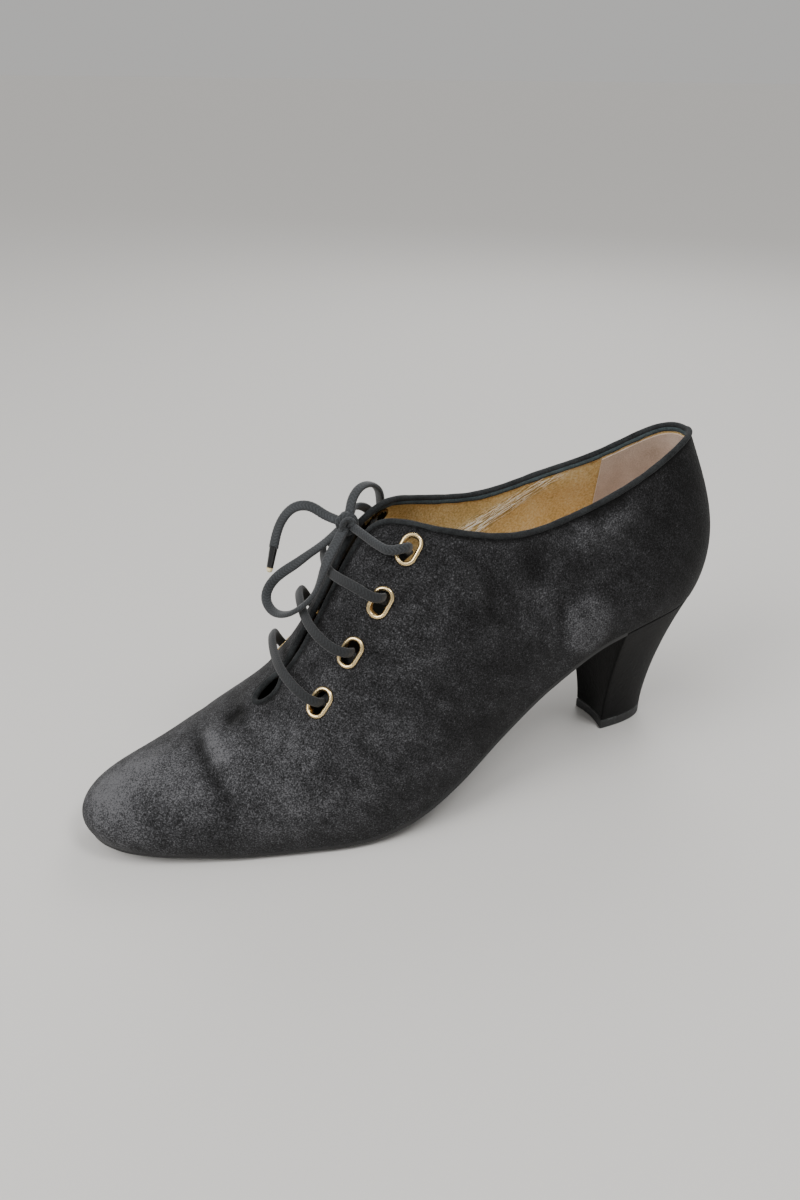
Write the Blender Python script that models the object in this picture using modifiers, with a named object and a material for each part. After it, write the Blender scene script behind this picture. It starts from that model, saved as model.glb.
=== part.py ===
"""Woman's lace-up court shoe for the left foot, in black suede on a curved covered heel.

The shoe stands on its sole, toe towards +X, outer (lateral) side towards +Y. Sizes are in millimetres in
the shoe's own measure, with x counted from the back of the feather edge, and are turned into metres and
moved to the middle of the footprint when a mesh is made. The feather edge is the line where upper and
sole meet.
"""
import math
from typing import NamedTuple

import bpy
import numpy as np

MM = 0.001
GAP = 0.3                    # air between pieces that meet

# Shell, sole and heel
WALL = 1.8                   # upper: suede and lining together
UPPER_LIFT = 0.5             # upright air under the upper, so that GAP is left where the arch is steep
SOLE_THICKNESS = 2.0
SOLE_REACH = 0.2             # how far the sole's edge stands out past the feather edge
INSOLE_THICKNESS = 2.4
INSOLE_LIFT = 0.4            # the same under the insole
BREAST_X = 44.5              # front face of the heel where it meets the sole
SOLE_END_X = BREAST_X + 1.9
TOP_PIECE_HEIGHT = 4.0       # the wearing piece under the heel
HEEL_FOOT_BACK_X = 11.5
HEEL_FOOT_FRONT_X = 35.5
HEEL_FOOT_HALF_WIDTH = 9.2
HEEL_FOOT_Y = -2.0
HEEL_FLARE = 1.6             # power of the heel's swell towards the seat
HEEL_FOOT_ROUND = 2.6        # power of the rounded back of the heel's foot
HEEL_SEAT_INSET = 0.3
BREAST_HOLLOW = 1.4

# Throat, binding and lacing
BINDING_RADIUS = 1.25
BINDING_SINK = 0.5           # depth of the bead's middle under the outer face
BINDING_GAP = 0.5            # air between bead and wall, wider because both turn corners
EDGE_SETBACK = 2 * BINDING_RADIUS + BINDING_GAP
KEYHOLE_ROW = 3.87           # middle of the keyhole, in rows of the rib table
KEYHOLE_HALF_LENGTH = 5.6
KEYHOLE_HALF_WIDTH = 2.9
ROW_LENGTH = 17.5            # one row of ribs along the ridge near the keyhole
EYELET_OUTER = (11.6, 7.6)   # length and width over the flange
EYELET_FLANGE = 1.6
EYELET_BARREL_WALL = 0.45
EYELET_BACK = 0.5            # how far the barrel stands out inside the wall
FLANGE_UNDERSIDE = 0.65      # heights of the flange over the upper's face
FLANGE_RIM = 0.75
FLANGE_MOUTH = 0.9
FLANGE_CREST = (0.75, 1.35)  # its highest line: how far out from the opening, and its height
EYELET_STEPS = 7             # steps in each round end of an eyelet
LACE_DIAMETER = 2.8
LACE_STEP = 2.8              # between the points of a bar or tie
CORD_STEP = 4.2              # between the points of the loop and the ends
MEDIAL_RISE = 0.75           # how much lower a bar leaves the inner eyelets
KNOT_CENTRE = (140.9, -2.0, 105.2)
KNOT_RADII = (3.3, 4.7, 3.5)  # off the ridge, across it and along it
KNOT_NORMAL = (0.85, 0.0, 0.53)
KNOT_STEPS = 12
AGLET_DIAMETER = 2.6
AGLET_LENGTH = 8.5


class OutlineRow(NamedTuple):
    """One station of the feather edge seen from above."""

    x: float
    lateral_y: float
    medial_y: float


class ProfileRow(NamedTuple):
    """One station of the feather edge seen from the side."""

    x: float
    z: float


class Rib(NamedTuple):
    """One rib of the upper, a curve from the feather edge up to the ridge or the collar."""

    foot: float          # share of the feather edge from toe to heel
    top_x: float
    top_z: float
    lateral_gap: float   # how far the top stands off the ridge's middle line
    medial_gap: float
    lean: float          # degrees that the wall leans out at its foot
    foot_reach: float    # pull of the foot's direction, as a share of the chord
    swing: float         # degrees that the top's direction turns from the toe's axis
    rise: float          # degrees that the top's direction climbs
    top_reach: float


class EyeletRow(NamedTuple):
    """One pair of eyelets: the rib they sit on, and how far down from its top."""

    rib_row: float
    down: float


class RiseRow(NamedTuple):
    """One point of the lace on its way out of an eyelet."""

    inward: float        # towards the slit
    height: float        # off the upper's face
    slack: float         # share of the bar's droop


class BarRow(NamedTuple):
    """One bar of the lace between a pair of eyelets."""

    pair: int
    cross_row: float     # the rib row at which it crosses the slit
    hump: float          # how far its top stands off the ridge
    slot: float          # shift of its ends up the eyelets
    droop: float         # how far its outer half hangs towards the toe


class RoutePoint(NamedTuple):
    """One point that a free stretch of the lace is led through."""

    x: float
    y: float
    z: float


OUTLINE = [
    OutlineRow(235.0, -3.0, -3.0),
    OutlineRow(232.0, 5.7, -12.4),
    OutlineRow(224.0, 13.4, -20.0),
    OutlineRow(208.0, 20.7, -27.8),
    OutlineRow(188.0, 26.8, -34.6),
    OutlineRow(168.0, 32.0, -37.4),
    OutlineRow(148.0, 36.2, -34.5),
    OutlineRow(125.0, 36.6, -26.3),
    OutlineRow(98.0, 32.0, -21.8),
    OutlineRow(70.0, 28.9, -22.8),
    OutlineRow(42.0, 27.3, -25.6),
    OutlineRow(20.0, 22.6, -22.2),
    OutlineRow(5.0, 12.5, -11.6),
    OutlineRow(0.0, 0.0, 0.0),
]
FLAT_FRONT_X = 188.0
FLAT_BACK_X = 160.0
PROFILE = [
    ProfileRow(242.0, 5.4),
    ProfileRow(225.0, 4.6),
    ProfileRow(207.0, 3.4),
    ProfileRow(FLAT_FRONT_X, SOLE_THICKNESS),
    ProfileRow(FLAT_BACK_X, SOLE_THICKNESS),
    ProfileRow(148.0, 2.9),
    ProfileRow(135.0, 5.8),
    ProfileRow(115.0, 15.6),
    ProfileRow(95.0, 29.9),
    ProfileRow(75.0, 43.6),
    ProfileRow(50.0, 55.9),
    ProfileRow(25.0, 60.0),
    ProfileRow(-8.0, 60.6),
]
RIBS = [
    Rib(0.000, 212.0, 29.4, 0.0, 0.0, 34.8, 0.45, 0.0, 23.0, 0.55),
    Rib(0.060, 208.8, 30.1, 0.0, 0.0, 33.4, 0.41, 45.0, 18.0, 0.53),
    Rib(0.130, 199.0, 32.7, 0.0, 0.0, 30.5, 0.37, 78.0, 8.0, 0.48),
    Rib(0.220, 183.3, 40.2, 0.0, 0.0, 25.5, 0.40, 90.0, 1.5, 0.43),
    Rib(0.300, 169.3, 49.8, 0.0, 0.0, 20.8, 0.40, 90.0, 0.0, 0.37),
    Rib(0.380, 158.6, 64.4, 1.6, 1.6, 16.7, 0.35, 90.0, 2.6, 0.31),
    Rib(0.460, 147.4, 85.0, 1.6, 1.6, 12.7, 0.35, 90.0, 6.0, 0.26),
    Rib(0.540, 133.9, 105.5, 3.0, 3.0, 10.7, 0.33, 92.0, 11.0, 0.26),
    Rib(0.610, 114.2, 106.5, 15.4, 13.6, 10.1, 0.33, 95.0, 50.0, 0.31),
    Rib(0.690, 89.0, 101.8, 18.2, 19.4, 12.1, 0.32, 98.0, 71.0, 0.33),
    Rib(0.780, 62.9, 105.1, 16.6, 19.6, 14.9, 0.33, 100.0, 75.0, 0.33),
    Rib(0.870, 36.2, 112.6, 12.8, 15.4, 18.5, 0.33, 110.0, 74.0, 0.33),
    Rib(0.945, 16.0, 121.8, 8.0, 9.6, 24.0, 0.38, 135.0, 69.0, 0.35),
    Rib(1.000, 9.4, 123.6, 0.0, 0.0, 26.5, 0.40, 180.0, 66.5, 0.34),
]
LAST_ROW = len(RIBS) - 1
EYELETS = [
    EyeletRow(7.30, 13.0),
    EyeletRow(6.45, 21.5),
    EyeletRow(5.70, 21.0),
    EyeletRow(4.80, 21.5),
]
RISE = [
    RiseRow(0.0, -1.0, 0.0),
    RiseRow(0.4, 1.8, 0.1),
    RiseRow(2.6, 4.2, 0.5),
    RiseRow(7.5, 6.0, 1.0),
]
BARS = [
    BarRow(2, 6.2, 4.6, 1.8, 3.2),
    BarRow(3, 5.55, 6.0, 0.0, 3.2),
    BarRow(4, 4.62, 6.7, 0.0, 2.5),
]
TIE_RISE = RISE[:2]
LATERAL_TIE = [
    RoutePoint(132.5, 16.0, 101.7),
    RoutePoint(135.3, 12.0, 102.0),
    RoutePoint(139.1, 2.5, 104.2),
]
MEDIAL_TIE = [
    RoutePoint(131.0, -15.0, 104.6),
    RoutePoint(135.0, -11.4, 106.0),
    RoutePoint(138.4, -6.0, 105.5),
]
LOOP = [
    RoutePoint(143.6, -4.0, 101.9),
    RoutePoint(148.3, -6.5, 96.6),
    RoutePoint(152.2, -8.2, 93.3),
    RoutePoint(156.5, -10.2, 89.5),
    RoutePoint(161.1, -12.5, 85.6),
    RoutePoint(165.0, -12.5, 82.2),
    RoutePoint(167.2, -11.0, 78.2),
    RoutePoint(166.6, -7.0, 75.4),
    RoutePoint(164.2, -1.6, 75.9),
    RoutePoint(160.7, 3.4, 79.6),
    RoutePoint(156.2, 4.8, 83.9),
    RoutePoint(153.3, 5.3, 89.8),
    RoutePoint(150.9, 5.1, 95.6),
    RoutePoint(147.5, 3.3, 99.9),
    RoutePoint(143.8, 0.3, 102.9),
]
ENDS = {
    1: [
        RoutePoint(144.0, -5.2, 105.8),
        RoutePoint(146.8, -8.0, 106.9),
        RoutePoint(150.3, -10.5, 109.1),
        RoutePoint(154.2, -13.5, 108.7),
        RoutePoint(157.7, -15.9, 105.1),
        RoutePoint(160.4, -16.7, 99.6),
        RoutePoint(162.3, -15.9, 93.9),
    ],
    2: [
        RoutePoint(139.4, -3.4, 108.8),
        RoutePoint(138.0, -4.6, 112.0),
        RoutePoint(134.6, -7.0, 114.6),
        RoutePoint(129.6, -10.2, 114.2),
        RoutePoint(125.0, -14.2, 110.2),
        RoutePoint(122.2, -18.8, 103.6),
        RoutePoint(120.8, -21.5, 95.6),
        RoutePoint(120.1, -24.0, 87.0),
    ],
}
RIDGE_SWING_X = 90.0         # in front of this the ridge swings over to the toe's point

# How finely each piece is drawn
RIB_STEPS = 9
TOE_ROW_STEP = 0.25
SLIT_ROWS = (KEYHOLE_ROW + 0.17, 6.4)
SLIT_ROW_STEP = 0.34
CORNER_ROWS = (6.55, 8.3)
CORNER_ROW_STEP = 0.19
COLLAR_ROW = 8.4             # where the collar's own ribs begin
COLLAR_STEPS = 13
COLLAR_CROWDING = 1.4        # power that draws the collar's ribs together towards the heel
KEYHOLE_STEPS = 5
OUTSOLE_STEPS = (40, 6)      # along the sole and across it
INSOLE_STEPS = (36, 4)
HEEL_AROUND = 28             # round the heel's back and sides
HEEL_ACROSS = 6              # across its front
HEEL_LEVELS = 9
HEEL_SEAT_STEPS = 4
TOP_PIECE_AROUND = 24
RIB_SAMPLES = 160
OUTLINE_SAMPLES = 700

LATERAL, MEDIAL = 1, -1
SIDE_NAMES = {LATERAL: "lateral", MEDIAL: "medial"}


# Curves through tables

def natural_spline(knots, values, at):
    """Return a smooth curve through values at knots, straight at both ends, read at the places given."""
    knots = np.asarray(knots, float)
    values = np.asarray(values, float).reshape(len(knots), -1)
    width = np.diff(knots)
    slope = np.diff(values, axis=0) / width[:, None]
    system = np.eye(len(knots))
    bend = np.zeros_like(values)
    for i in range(1, len(knots) - 1):
        system[i, i - 1:i + 2] = width[i - 1], 2 * (width[i - 1] + width[i]), width[i]
        bend[i] = 6 * (slope[i] - slope[i - 1])
    bend = np.linalg.solve(system, bend)
    at = np.atleast_1d(np.asarray(at, float))
    k = np.clip(np.searchsorted(knots, at, side="right") - 1, 0, len(knots) - 2)
    s, h = (at - knots[k])[:, None], width[k][:, None]
    start = slope[k] - h * (2 * bend[k] + bend[k + 1]) / 6
    return values[k] + s * start + s ** 2 * bend[k] / 2 + s ** 3 * (bend[k + 1] - bend[k]) / (6 * h)


def level_spline(knots, values, at):
    """Return a smooth curve through values at rising knots that never swings past them."""
    knots, values = np.asarray(knots, float), np.asarray(values, float)
    width = np.diff(knots)
    slope = np.diff(values) / width
    turn = np.zeros(len(knots))
    turn[0], turn[-1] = slope[0], slope[-1]
    for i in range(1, len(knots) - 1):
        if slope[i - 1] * slope[i] > 0:
            a, b = 2 * width[i] + width[i - 1], width[i] + 2 * width[i - 1]
            turn[i] = (a + b) / (a / slope[i - 1] + b / slope[i])
    at = np.asarray(at, float)
    k = np.clip(np.searchsorted(knots, at, side="right") - 1, 0, len(knots) - 2)
    h = width[k]
    t = (at - knots[k]) / h
    return ((1 + 2 * t) * (1 - t) ** 2 * values[k] + t * (1 - t) ** 2 * h * turn[k]
            + t ** 2 * (3 - 2 * t) * values[k + 1] + t ** 2 * (t - 1) * h * turn[k + 1])


def smooth_route(points, spacing):
    """Return points at even spacing along a smooth curve through a cord's own points."""
    points = np.asarray(points, float)
    steps = np.linalg.norm(np.diff(points, axis=0), axis=1)
    knots = np.concatenate([[0.0], np.cumsum(steps)])
    fine = natural_spline(knots, points, np.linspace(0, knots[-1], 400))
    run = np.concatenate([[0.0], np.cumsum(np.linalg.norm(np.diff(fine, axis=0), axis=1))])
    count = max(2, round(run[-1] / spacing))
    at = np.linspace(0, run[-1], count + 1)
    return np.column_stack([np.interp(at, run, fine[:, axis]) for axis in range(3)])


# The form of the last

def feather_height(x):
    """Return the height of the feather edge, which is level across the shoe."""
    rows = PROFILE[::-1]
    return level_spline([row.x for row in rows], [row.z for row in rows], x)


def outline_curve(side):
    """Return a dense half of the feather edge in plan, toe to heel, with its outward directions."""
    lateral = [(row.x, row.lateral_y) for row in OUTLINE]
    medial = [(row.x, row.medial_y) for row in OUTLINE]
    ring = np.array(lateral + medial[-2::-1])
    wrap = 4
    closed = np.concatenate([ring[-1 - wrap:-1], ring, ring[1:1 + wrap]])
    knots = np.concatenate([[0.0], np.cumsum(np.linalg.norm(np.diff(closed, axis=0), axis=1))])
    toe, heel, toe_again = knots[wrap], knots[wrap + len(lateral) - 1], knots[wrap + len(ring) - 1]
    start = toe if side == LATERAL else toe_again
    points = natural_spline(knots, closed, np.linspace(start, heel, OUTLINE_SAMPLES))
    along = np.gradient(points, axis=0)
    along /= np.linalg.norm(along, axis=1)[:, None]
    outward = np.column_stack([along[:, 1], -along[:, 0]]) * side
    return points, outward


def feather_plan(side, share, offset=0.0):
    """Return plan points at shares of the feather edge, moved outwards by offset, and their directions."""
    points, outward = outline_curve(side)
    run = np.concatenate([[0.0], np.cumsum(np.linalg.norm(np.diff(points, axis=0), axis=1))])
    run /= run[-1]
    plan = np.column_stack([np.interp(share, run, points[:, axis]) for axis in range(2)])
    way = np.column_stack([np.interp(share, run, outward[:, axis]) for axis in range(2)])
    way /= np.linalg.norm(way, axis=1)[:, None]
    return plan + offset * way, way


def share_at_x(side, x, offset=0.0):
    """Return the share of the feather edge, behind the toe, where it passes a station."""
    share = np.linspace(0.05, 0.999, 800)
    plan, _ = feather_plan(side, share, offset)
    return float(np.interp(-x, -plan[:, 0], share))


def ridge_y(x):
    """Return the sideways place of the ridge, which swings from the heel's middle to the toe's point."""
    toe = OUTLINE[0]
    return toe.lateral_y * np.clip((x - RIDGE_SWING_X) / (toe.x - RIDGE_SWING_X), 0, 1)


def mirrored_ribs():
    """Return the rib table with a mirrored row more at each end, so that ribs run smoothly over toe and heel."""
    before = RIBS[1]._replace(foot=-RIBS[1].foot, swing=-RIBS[1].swing)
    after = RIBS[-2]._replace(foot=2 - RIBS[-2].foot, swing=360 - RIBS[-2].swing)
    return np.array([before, *RIBS, after])


def top_gap(side, row):
    """Return how far the tops of ribs stand off the ridge's middle line."""
    gaps = [rib.lateral_gap if side == LATERAL else rib.medial_gap for rib in RIBS]
    return level_spline(np.arange(len(RIBS)), gaps, row)


def rib_controls(side, row):
    """Return the four control points of the ribs at places in the rib table, as a [rib, point, xyz] array."""
    row = np.atleast_1d(np.asarray(row, float))
    rows = np.arange(-1, len(RIBS) + 1)
    columns = natural_spline(rows, mirrored_ribs(), row).T
    foot, top_x, top_z, _, _, lean, foot_reach, swing, rise, top_reach = columns
    gap = top_gap(side, row)
    plan, outward = feather_plan(side, np.clip(foot, 0, 1))
    start = np.column_stack([plan, feather_height(plan[:, 0]) + UPPER_LIFT])
    top = np.column_stack([top_x, ridge_y(top_x) + side * gap, top_z])
    lean, swing, rise = np.radians(lean), np.radians(swing), np.radians(rise)
    up_from_foot = np.column_stack([outward * np.sin(lean)[:, None], np.cos(lean)])
    into_top = np.column_stack([-np.cos(swing) * np.cos(rise), -side * np.sin(swing) * np.cos(rise),
                                np.sin(rise)])
    chord = np.linalg.norm(top - start, axis=1)[:, None]
    return np.stack([start, start + up_from_foot * foot_reach[:, None] * chord,
                     top - into_top * top_reach[:, None] * chord, top], axis=1)


def along_rib(controls, share):
    """Return points of one rib at shares of its run from foot to top."""
    a, b, c, d = controls
    t = np.asarray(share, float)[:, None]
    return (1 - t) ** 3 * a + 3 * t * (1 - t) ** 2 * b + 3 * t ** 2 * (1 - t) * c + t ** 3 * d


def share_below_top(controls, down):
    """Return the share of a rib's run that lies a measured way down from its top."""
    share = np.linspace(1, 0, RIB_SAMPLES)
    points = along_rib(controls, share)
    run = np.concatenate([[0.0], np.cumsum(np.linalg.norm(np.diff(points, axis=0), axis=1))])
    return float(np.interp(down, run, share))


def upper_point(side, row, down):
    """Return the point of the upper's outer face that lies down from the top of the rib at a row."""
    controls = rib_controls(side, row)[0]
    return along_rib(controls, [share_below_top(controls, down)])[0]


def upper_frame(side, row, down):
    """Return a point of the upper's outer face and its outward normal."""
    nudge = 0.04
    point = upper_point(side, row, down)
    along = upper_point(side, row + nudge, down) - upper_point(side, row - nudge, down)
    across = upper_point(side, row, down - 0.5) - upper_point(side, row, down + 0.5)
    normal = np.cross(along, across) * side
    normal /= np.linalg.norm(normal)
    return point, normal


# The throat's edge

def keyhole_front(grow):
    """Return the row at which the keyhole, grown all round, begins."""
    return KEYHOLE_ROW - (KEYHOLE_HALF_LENGTH + grow) / ROW_LENGTH


def edge_down(side, row, grow):
    """Return how far below a rib's top the throat's and collar's edge lies, grown all round."""
    gap = float(top_gap(side, row))
    reach = (row - KEYHOLE_ROW) * ROW_LENGTH / (KEYHOLE_HALF_LENGTH + grow)
    hole = (KEYHOLE_HALF_WIDTH + grow) * math.sqrt(max(0.0, 1 - reach ** 2)) - gap
    return max(hole, grow) if row > KEYHOLE_ROW else max(hole, 0.0)


def throat_rows(grow):
    """Return rows from the keyhole's front, along the slit and the collar, to the back of the heel."""
    front = keyhole_front(grow)
    turn = np.linspace(0, math.pi / 2, KEYHOLE_STEPS + 1)
    keyhole = KEYHOLE_ROW - (KEYHOLE_ROW - front) * np.cos(turn)
    slit = np.arange(*SLIT_ROWS, SLIT_ROW_STEP)
    corner = np.arange(*CORNER_ROWS, CORNER_ROW_STEP)
    crowded = 1 - np.linspace(1, 0, COLLAR_STEPS + 1) ** COLLAR_CROWDING
    collar = COLLAR_ROW + (LAST_ROW - COLLAR_ROW) * crowded
    return np.concatenate([keyhole, slit, corner, collar])


# Scene and mesh helpers

def empty_scene():
    """Remove every object of the open scene."""
    for item in list(bpy.data.objects):
        bpy.data.objects.remove(item, do_unlink=True)


def new_collection(name):
    """Return a new collection linked to the scene."""
    collection = bpy.data.collections.new(name)
    bpy.context.scene.collection.children.link(collection)
    return collection


def plain_material(name, colour, roughness, metallic=0.0):
    """Return a Principled material of one colour."""
    material = bpy.data.materials.new(name)
    material.use_nodes = True
    shader = material.node_tree.nodes["Principled BSDF"]
    shader.inputs["Base Color"].default_value = (*colour, 1.0)
    shader.inputs["Roughness"].default_value = roughness
    shader.inputs["Metallic"].default_value = metallic
    return material


def shoe_origin():
    """Return the middle of the shoe's footprint in its own measure, from the upper's widest points."""
    rows = np.linspace(0, LAST_ROW, 120)
    share = np.linspace(0, 1, 40)
    points = np.concatenate([along_rib(rib, share) for side in (LATERAL, MEDIAL)
                             for rib in rib_controls(side, rows)])
    low, high = points.min(axis=0), points.max(axis=0)
    return np.array([(low[0] + high[0]) / 2, (low[1] + high[1]) / 2, 0.0])


ORIGIN = shoe_origin()


def to_metres(points):
    """Return points in metres about the middle of the footprint."""
    return [tuple((np.asarray(point) - ORIGIN) * MM) for point in points]


def mesh_object(name, vertices, faces, material, collection):
    """Return a new object from points in the shoe's measure and faces that list them."""
    mesh = bpy.data.meshes.new(name)
    mesh.from_pydata(to_metres(vertices), [], faces)
    mesh.validate()
    mesh.shade_smooth()
    mesh.set_sharp_from_angle(angle=math.radians(50))
    mesh.materials.append(material)
    item = bpy.data.objects.new(name, mesh)
    collection.objects.link(item)
    return item


def thicken(item, thickness, in_front=False):
    """Give an open surface a thickness behind its outward faces, or in front of them."""
    solidify = item.modifiers.new("thickness", "SOLIDIFY")
    solidify.thickness = thickness * MM
    solidify.offset = 1.0 if in_front else -1.0
    solidify.use_even_offset = True


def tube(name, points, diameter, material, collection, closed=False):
    """Return a round tube through points, with filled ends or closed on itself."""
    curve = bpy.data.curves.new(name, "CURVE")
    curve.dimensions = "3D"
    curve.bevel_depth = diameter / 2 * MM
    curve.bevel_resolution = 2
    curve.use_fill_caps = True
    spline = curve.splines.new("POLY")
    spline.points.add(len(points) - 1)
    for place, point in zip(spline.points, to_metres(points)):
        place.co = (*point, 1.0)
    spline.use_cyclic_u = closed
    curve.materials.append(material)
    item = bpy.data.objects.new(name, curve)
    collection.objects.link(item)
    return item


def ladder(left, right, steps):
    """Return the vertices and faces of a sheet between two edges that run the same way, left above right."""
    share = np.linspace(0, 1, steps + 1)
    vertices, rungs = [], []
    for a, b in zip(left, right):
        tip = np.linalg.norm(a - b) < 1e-6
        places = share[:1] if tip else share
        rungs.append([len(vertices) + i for i in range(len(places))])
        vertices.extend(a + (b - a) * t for t in places)
    faces = []
    for here, there in zip(rungs[:-1], rungs[1:]):
        for i in range(steps):
            corners = [here[min(i, len(here) - 1)], there[min(i, len(there) - 1)],
                       there[min(i + 1, len(there) - 1)], here[min(i + 1, len(here) - 1)]]
            faces.append(list(dict.fromkeys(corners)))
    return vertices, faces


# Pieces

def upper_shell(material, collection):
    """Return the one-piece upper as a ring of ribs, open at collar, slit, keyhole and underneath."""
    front = keyhole_front(EDGE_SETBACK)
    toe_rows = np.linspace(0, front, math.ceil(front / TOE_ROW_STEP) + 1)[:-1]
    rows = np.concatenate([toe_rows, throat_rows(EDGE_SETBACK)])
    vertices, index = [], {}
    for side in (LATERAL, MEDIAL):
        for i, (row, controls) in enumerate(zip(rows, rib_controls(side, rows))):
            shared_rib = side == MEDIAL and i in (0, len(rows) - 1)
            top = share_below_top(controls, edge_down(side, row, EDGE_SETBACK)) if row > front else 1.0
            for j, point in enumerate(along_rib(controls, np.linspace(0, top, RIB_STEPS + 1))):
                on_ridge = side == MEDIAL and j == RIB_STEPS and row <= front
                if shared_rib or on_ridge:
                    index[side, i, j] = index[LATERAL, i, j]
                else:
                    index[side, i, j] = len(vertices)
                    vertices.append(point)
    ring = [(LATERAL, i) for i in range(len(rows))] + [(MEDIAL, i) for i in range(len(rows) - 2, 0, -1)]
    faces = []
    for here, there in zip(ring, ring[1:] + ring[:1]):
        for j in range(RIB_STEPS):
            faces.append([index[(*here, j)], index[(*there, j)], index[(*there, j + 1)], index[(*here, j + 1)]])
    item = mesh_object("upper", vertices, faces, material, collection)
    thicken(item, WALL)
    return item


def collar_binding(material, collection):
    """Return the bead of binding round keyhole, slit and collar, one closed loop."""
    rows = throat_rows(BINDING_RADIUS)
    edges = []
    for side in (LATERAL, MEDIAL):
        frames = [upper_frame(side, row, edge_down(side, row, BINDING_RADIUS)) for row in rows]
        edges.append([point - BINDING_SINK * normal for point, normal in frames])
    loop = edges[0] + edges[1][-2:0:-1]
    return tube("collar_binding", loop, 2 * BINDING_RADIUS, material, collection, closed=True)


def sole_sheet(offset, lift, end_x, stations, steps):
    """Return the vertices and faces of a sheet in the shape of the last's bottom, cut off behind end_x."""
    edges = []
    for side in (LATERAL, MEDIAL):
        end = 1.0 if end_x is None else share_at_x(side, end_x, offset)
        share = end * (1 - np.cos(np.linspace(0, math.pi, stations + 1))) / 2
        share = 0.5 * share + 0.5 * np.linspace(0, end, stations + 1)
        plan, _ = feather_plan(side, share, offset)
        edges.append(np.column_stack([plan, np.zeros(len(plan))]))
    vertices, faces = ladder(edges[0], edges[1], steps)
    vertices = [(x, y, float(feather_height(x)) + lift) for x, y, _ in vertices]
    return vertices, faces


def outsole(material, collection):
    """Return the thin sole from toe to heel breast, flat on the floor under the ball."""
    vertices, faces = sole_sheet(SOLE_REACH, 0.0, SOLE_END_X, *OUTSOLE_STEPS)
    item = mesh_object("outsole", vertices, faces, material, collection)
    thicken(item, SOLE_THICKNESS)
    return item


def insole(material, collection):
    """Return the insole, which lies inside the upper's lower edge from toe to heel."""
    inset = -(WALL + 2 * GAP)
    vertices, faces = sole_sheet(inset, INSOLE_LIFT, None, *INSOLE_STEPS)
    item = mesh_object("insole", vertices, faces, material, collection)
    thicken(item, INSOLE_THICKNESS, in_front=True)
    return item


def heel_foot_outline(count):
    """Return the outline of the heel's foot, from its outer front corner round the back to its inner one."""
    turn = np.linspace(0, math.pi, count + 1)
    length = HEEL_FOOT_FRONT_X - HEEL_FOOT_BACK_X
    x = HEEL_FOOT_FRONT_X - length * np.sin(turn) ** (2 / HEEL_FOOT_ROUND)
    return np.column_stack([x, HEEL_FOOT_Y + HEEL_FOOT_HALF_WIDTH * np.cos(turn)])


def heel_seat_outline(count):
    """Return the outline of the heel seat, which follows the feather edge behind the breast."""
    half = count // 2
    edges = []
    for side in (LATERAL, MEDIAL):
        share = np.linspace(share_at_x(side, BREAST_X, -HEEL_SEAT_INSET), 1.0, half + 1)
        edges.append(feather_plan(side, share, -HEEL_SEAT_INSET)[0])
    return np.concatenate([edges[0], edges[1][-2::-1]])


def breast_line(outline, count, hollow):
    """Return points across the heel's front, from its inner corner to its outer one, gently hollowed."""
    share = np.linspace(0, 1, count + 1)[1:-1]
    line = outline[-1] + (outline[0] - outline[-1]) * share[:, None]
    line[:, 0] -= hollow * np.sin(share * math.pi)
    return line


def covered_heel(material, collection):
    """Return the heel, which swells from its foot to the heel seat."""
    foot, seat = heel_foot_outline(HEEL_AROUND), heel_seat_outline(HEEL_AROUND)
    foot_ring = np.concatenate([foot, breast_line(foot, HEEL_ACROSS, BREAST_HOLLOW)])
    seat_ring = np.concatenate([seat, breast_line(seat, HEEL_ACROSS, BREAST_HOLLOW)])
    low = TOP_PIECE_HEIGHT + GAP
    high = feather_height(seat_ring[:, 0])
    vertices, rings = [], []
    for level in np.linspace(0, 1, HEEL_LEVELS + 1):
        plan = foot_ring + (seat_ring - foot_ring) * level ** HEEL_FLARE
        rings.append(list(range(len(vertices), len(vertices) + len(plan))))
        vertices.extend((x, y, low + (top - low) * level) for (x, y), top in zip(plan, high))
    faces = []
    for here, there in zip(rings[:-1], rings[1:]):
        for i in range(len(here)):
            k = (i + 1) % len(here)
            faces.append([here[i], here[k], there[k], there[i]])
    faces.append(rings[0][::-1])
    return finish_heel_seat(vertices, faces, rings[-1], HEEL_AROUND, HEEL_SEAT_STEPS, material, collection)


def finish_heel_seat(vertices, faces, ring, around, steps, material, collection):
    """Close the heel's top with a sheet that follows the heel seat, and return the heel."""
    half = around // 2
    front = [ring[0]] + ring[around + 1:][::-1] + [ring[around]]
    rungs = [front]
    for i in range(1, half):
        a, b = vertices[ring[i]], vertices[ring[around - i]]
        rung = [ring[i]]
        for step in range(1, steps):
            x = a[0] + (b[0] - a[0]) * step / steps
            y = a[1] + (b[1] - a[1]) * step / steps
            rung.append(len(vertices))
            vertices.append((x, y, float(feather_height(x))))
        rungs.append(rung + [ring[around - i]])
    for here, there in zip(rungs[1:-1], rungs[2:]):
        for i in range(steps):
            faces.append([here[i], there[i], there[i + 1], here[i + 1]])
    faces.append(rungs[0] + rungs[1][::-1])
    faces[-1].reverse()
    faces.append([*rungs[-1], ring[half]])
    faces[-1].reverse()
    return mesh_object("heel", vertices, faces, material, collection)


def heel_top_piece(material, collection):
    """Return the flat wearing piece that stands on the floor under the heel."""
    outline = heel_foot_outline(TOP_PIECE_AROUND)
    ring = np.concatenate([outline, breast_line(outline, HEEL_ACROSS, BREAST_HOLLOW)])
    count = len(ring)
    vertices = [(x, y, z) for z in (0.0, TOP_PIECE_HEIGHT) for x, y in ring]
    faces = [[i, (i + 1) % count, count + (i + 1) % count, count + i] for i in range(count)]
    faces += [list(range(count))[::-1], list(range(count, 2 * count))]
    return mesh_object("heel_top_piece", vertices, faces, material, collection)


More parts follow.
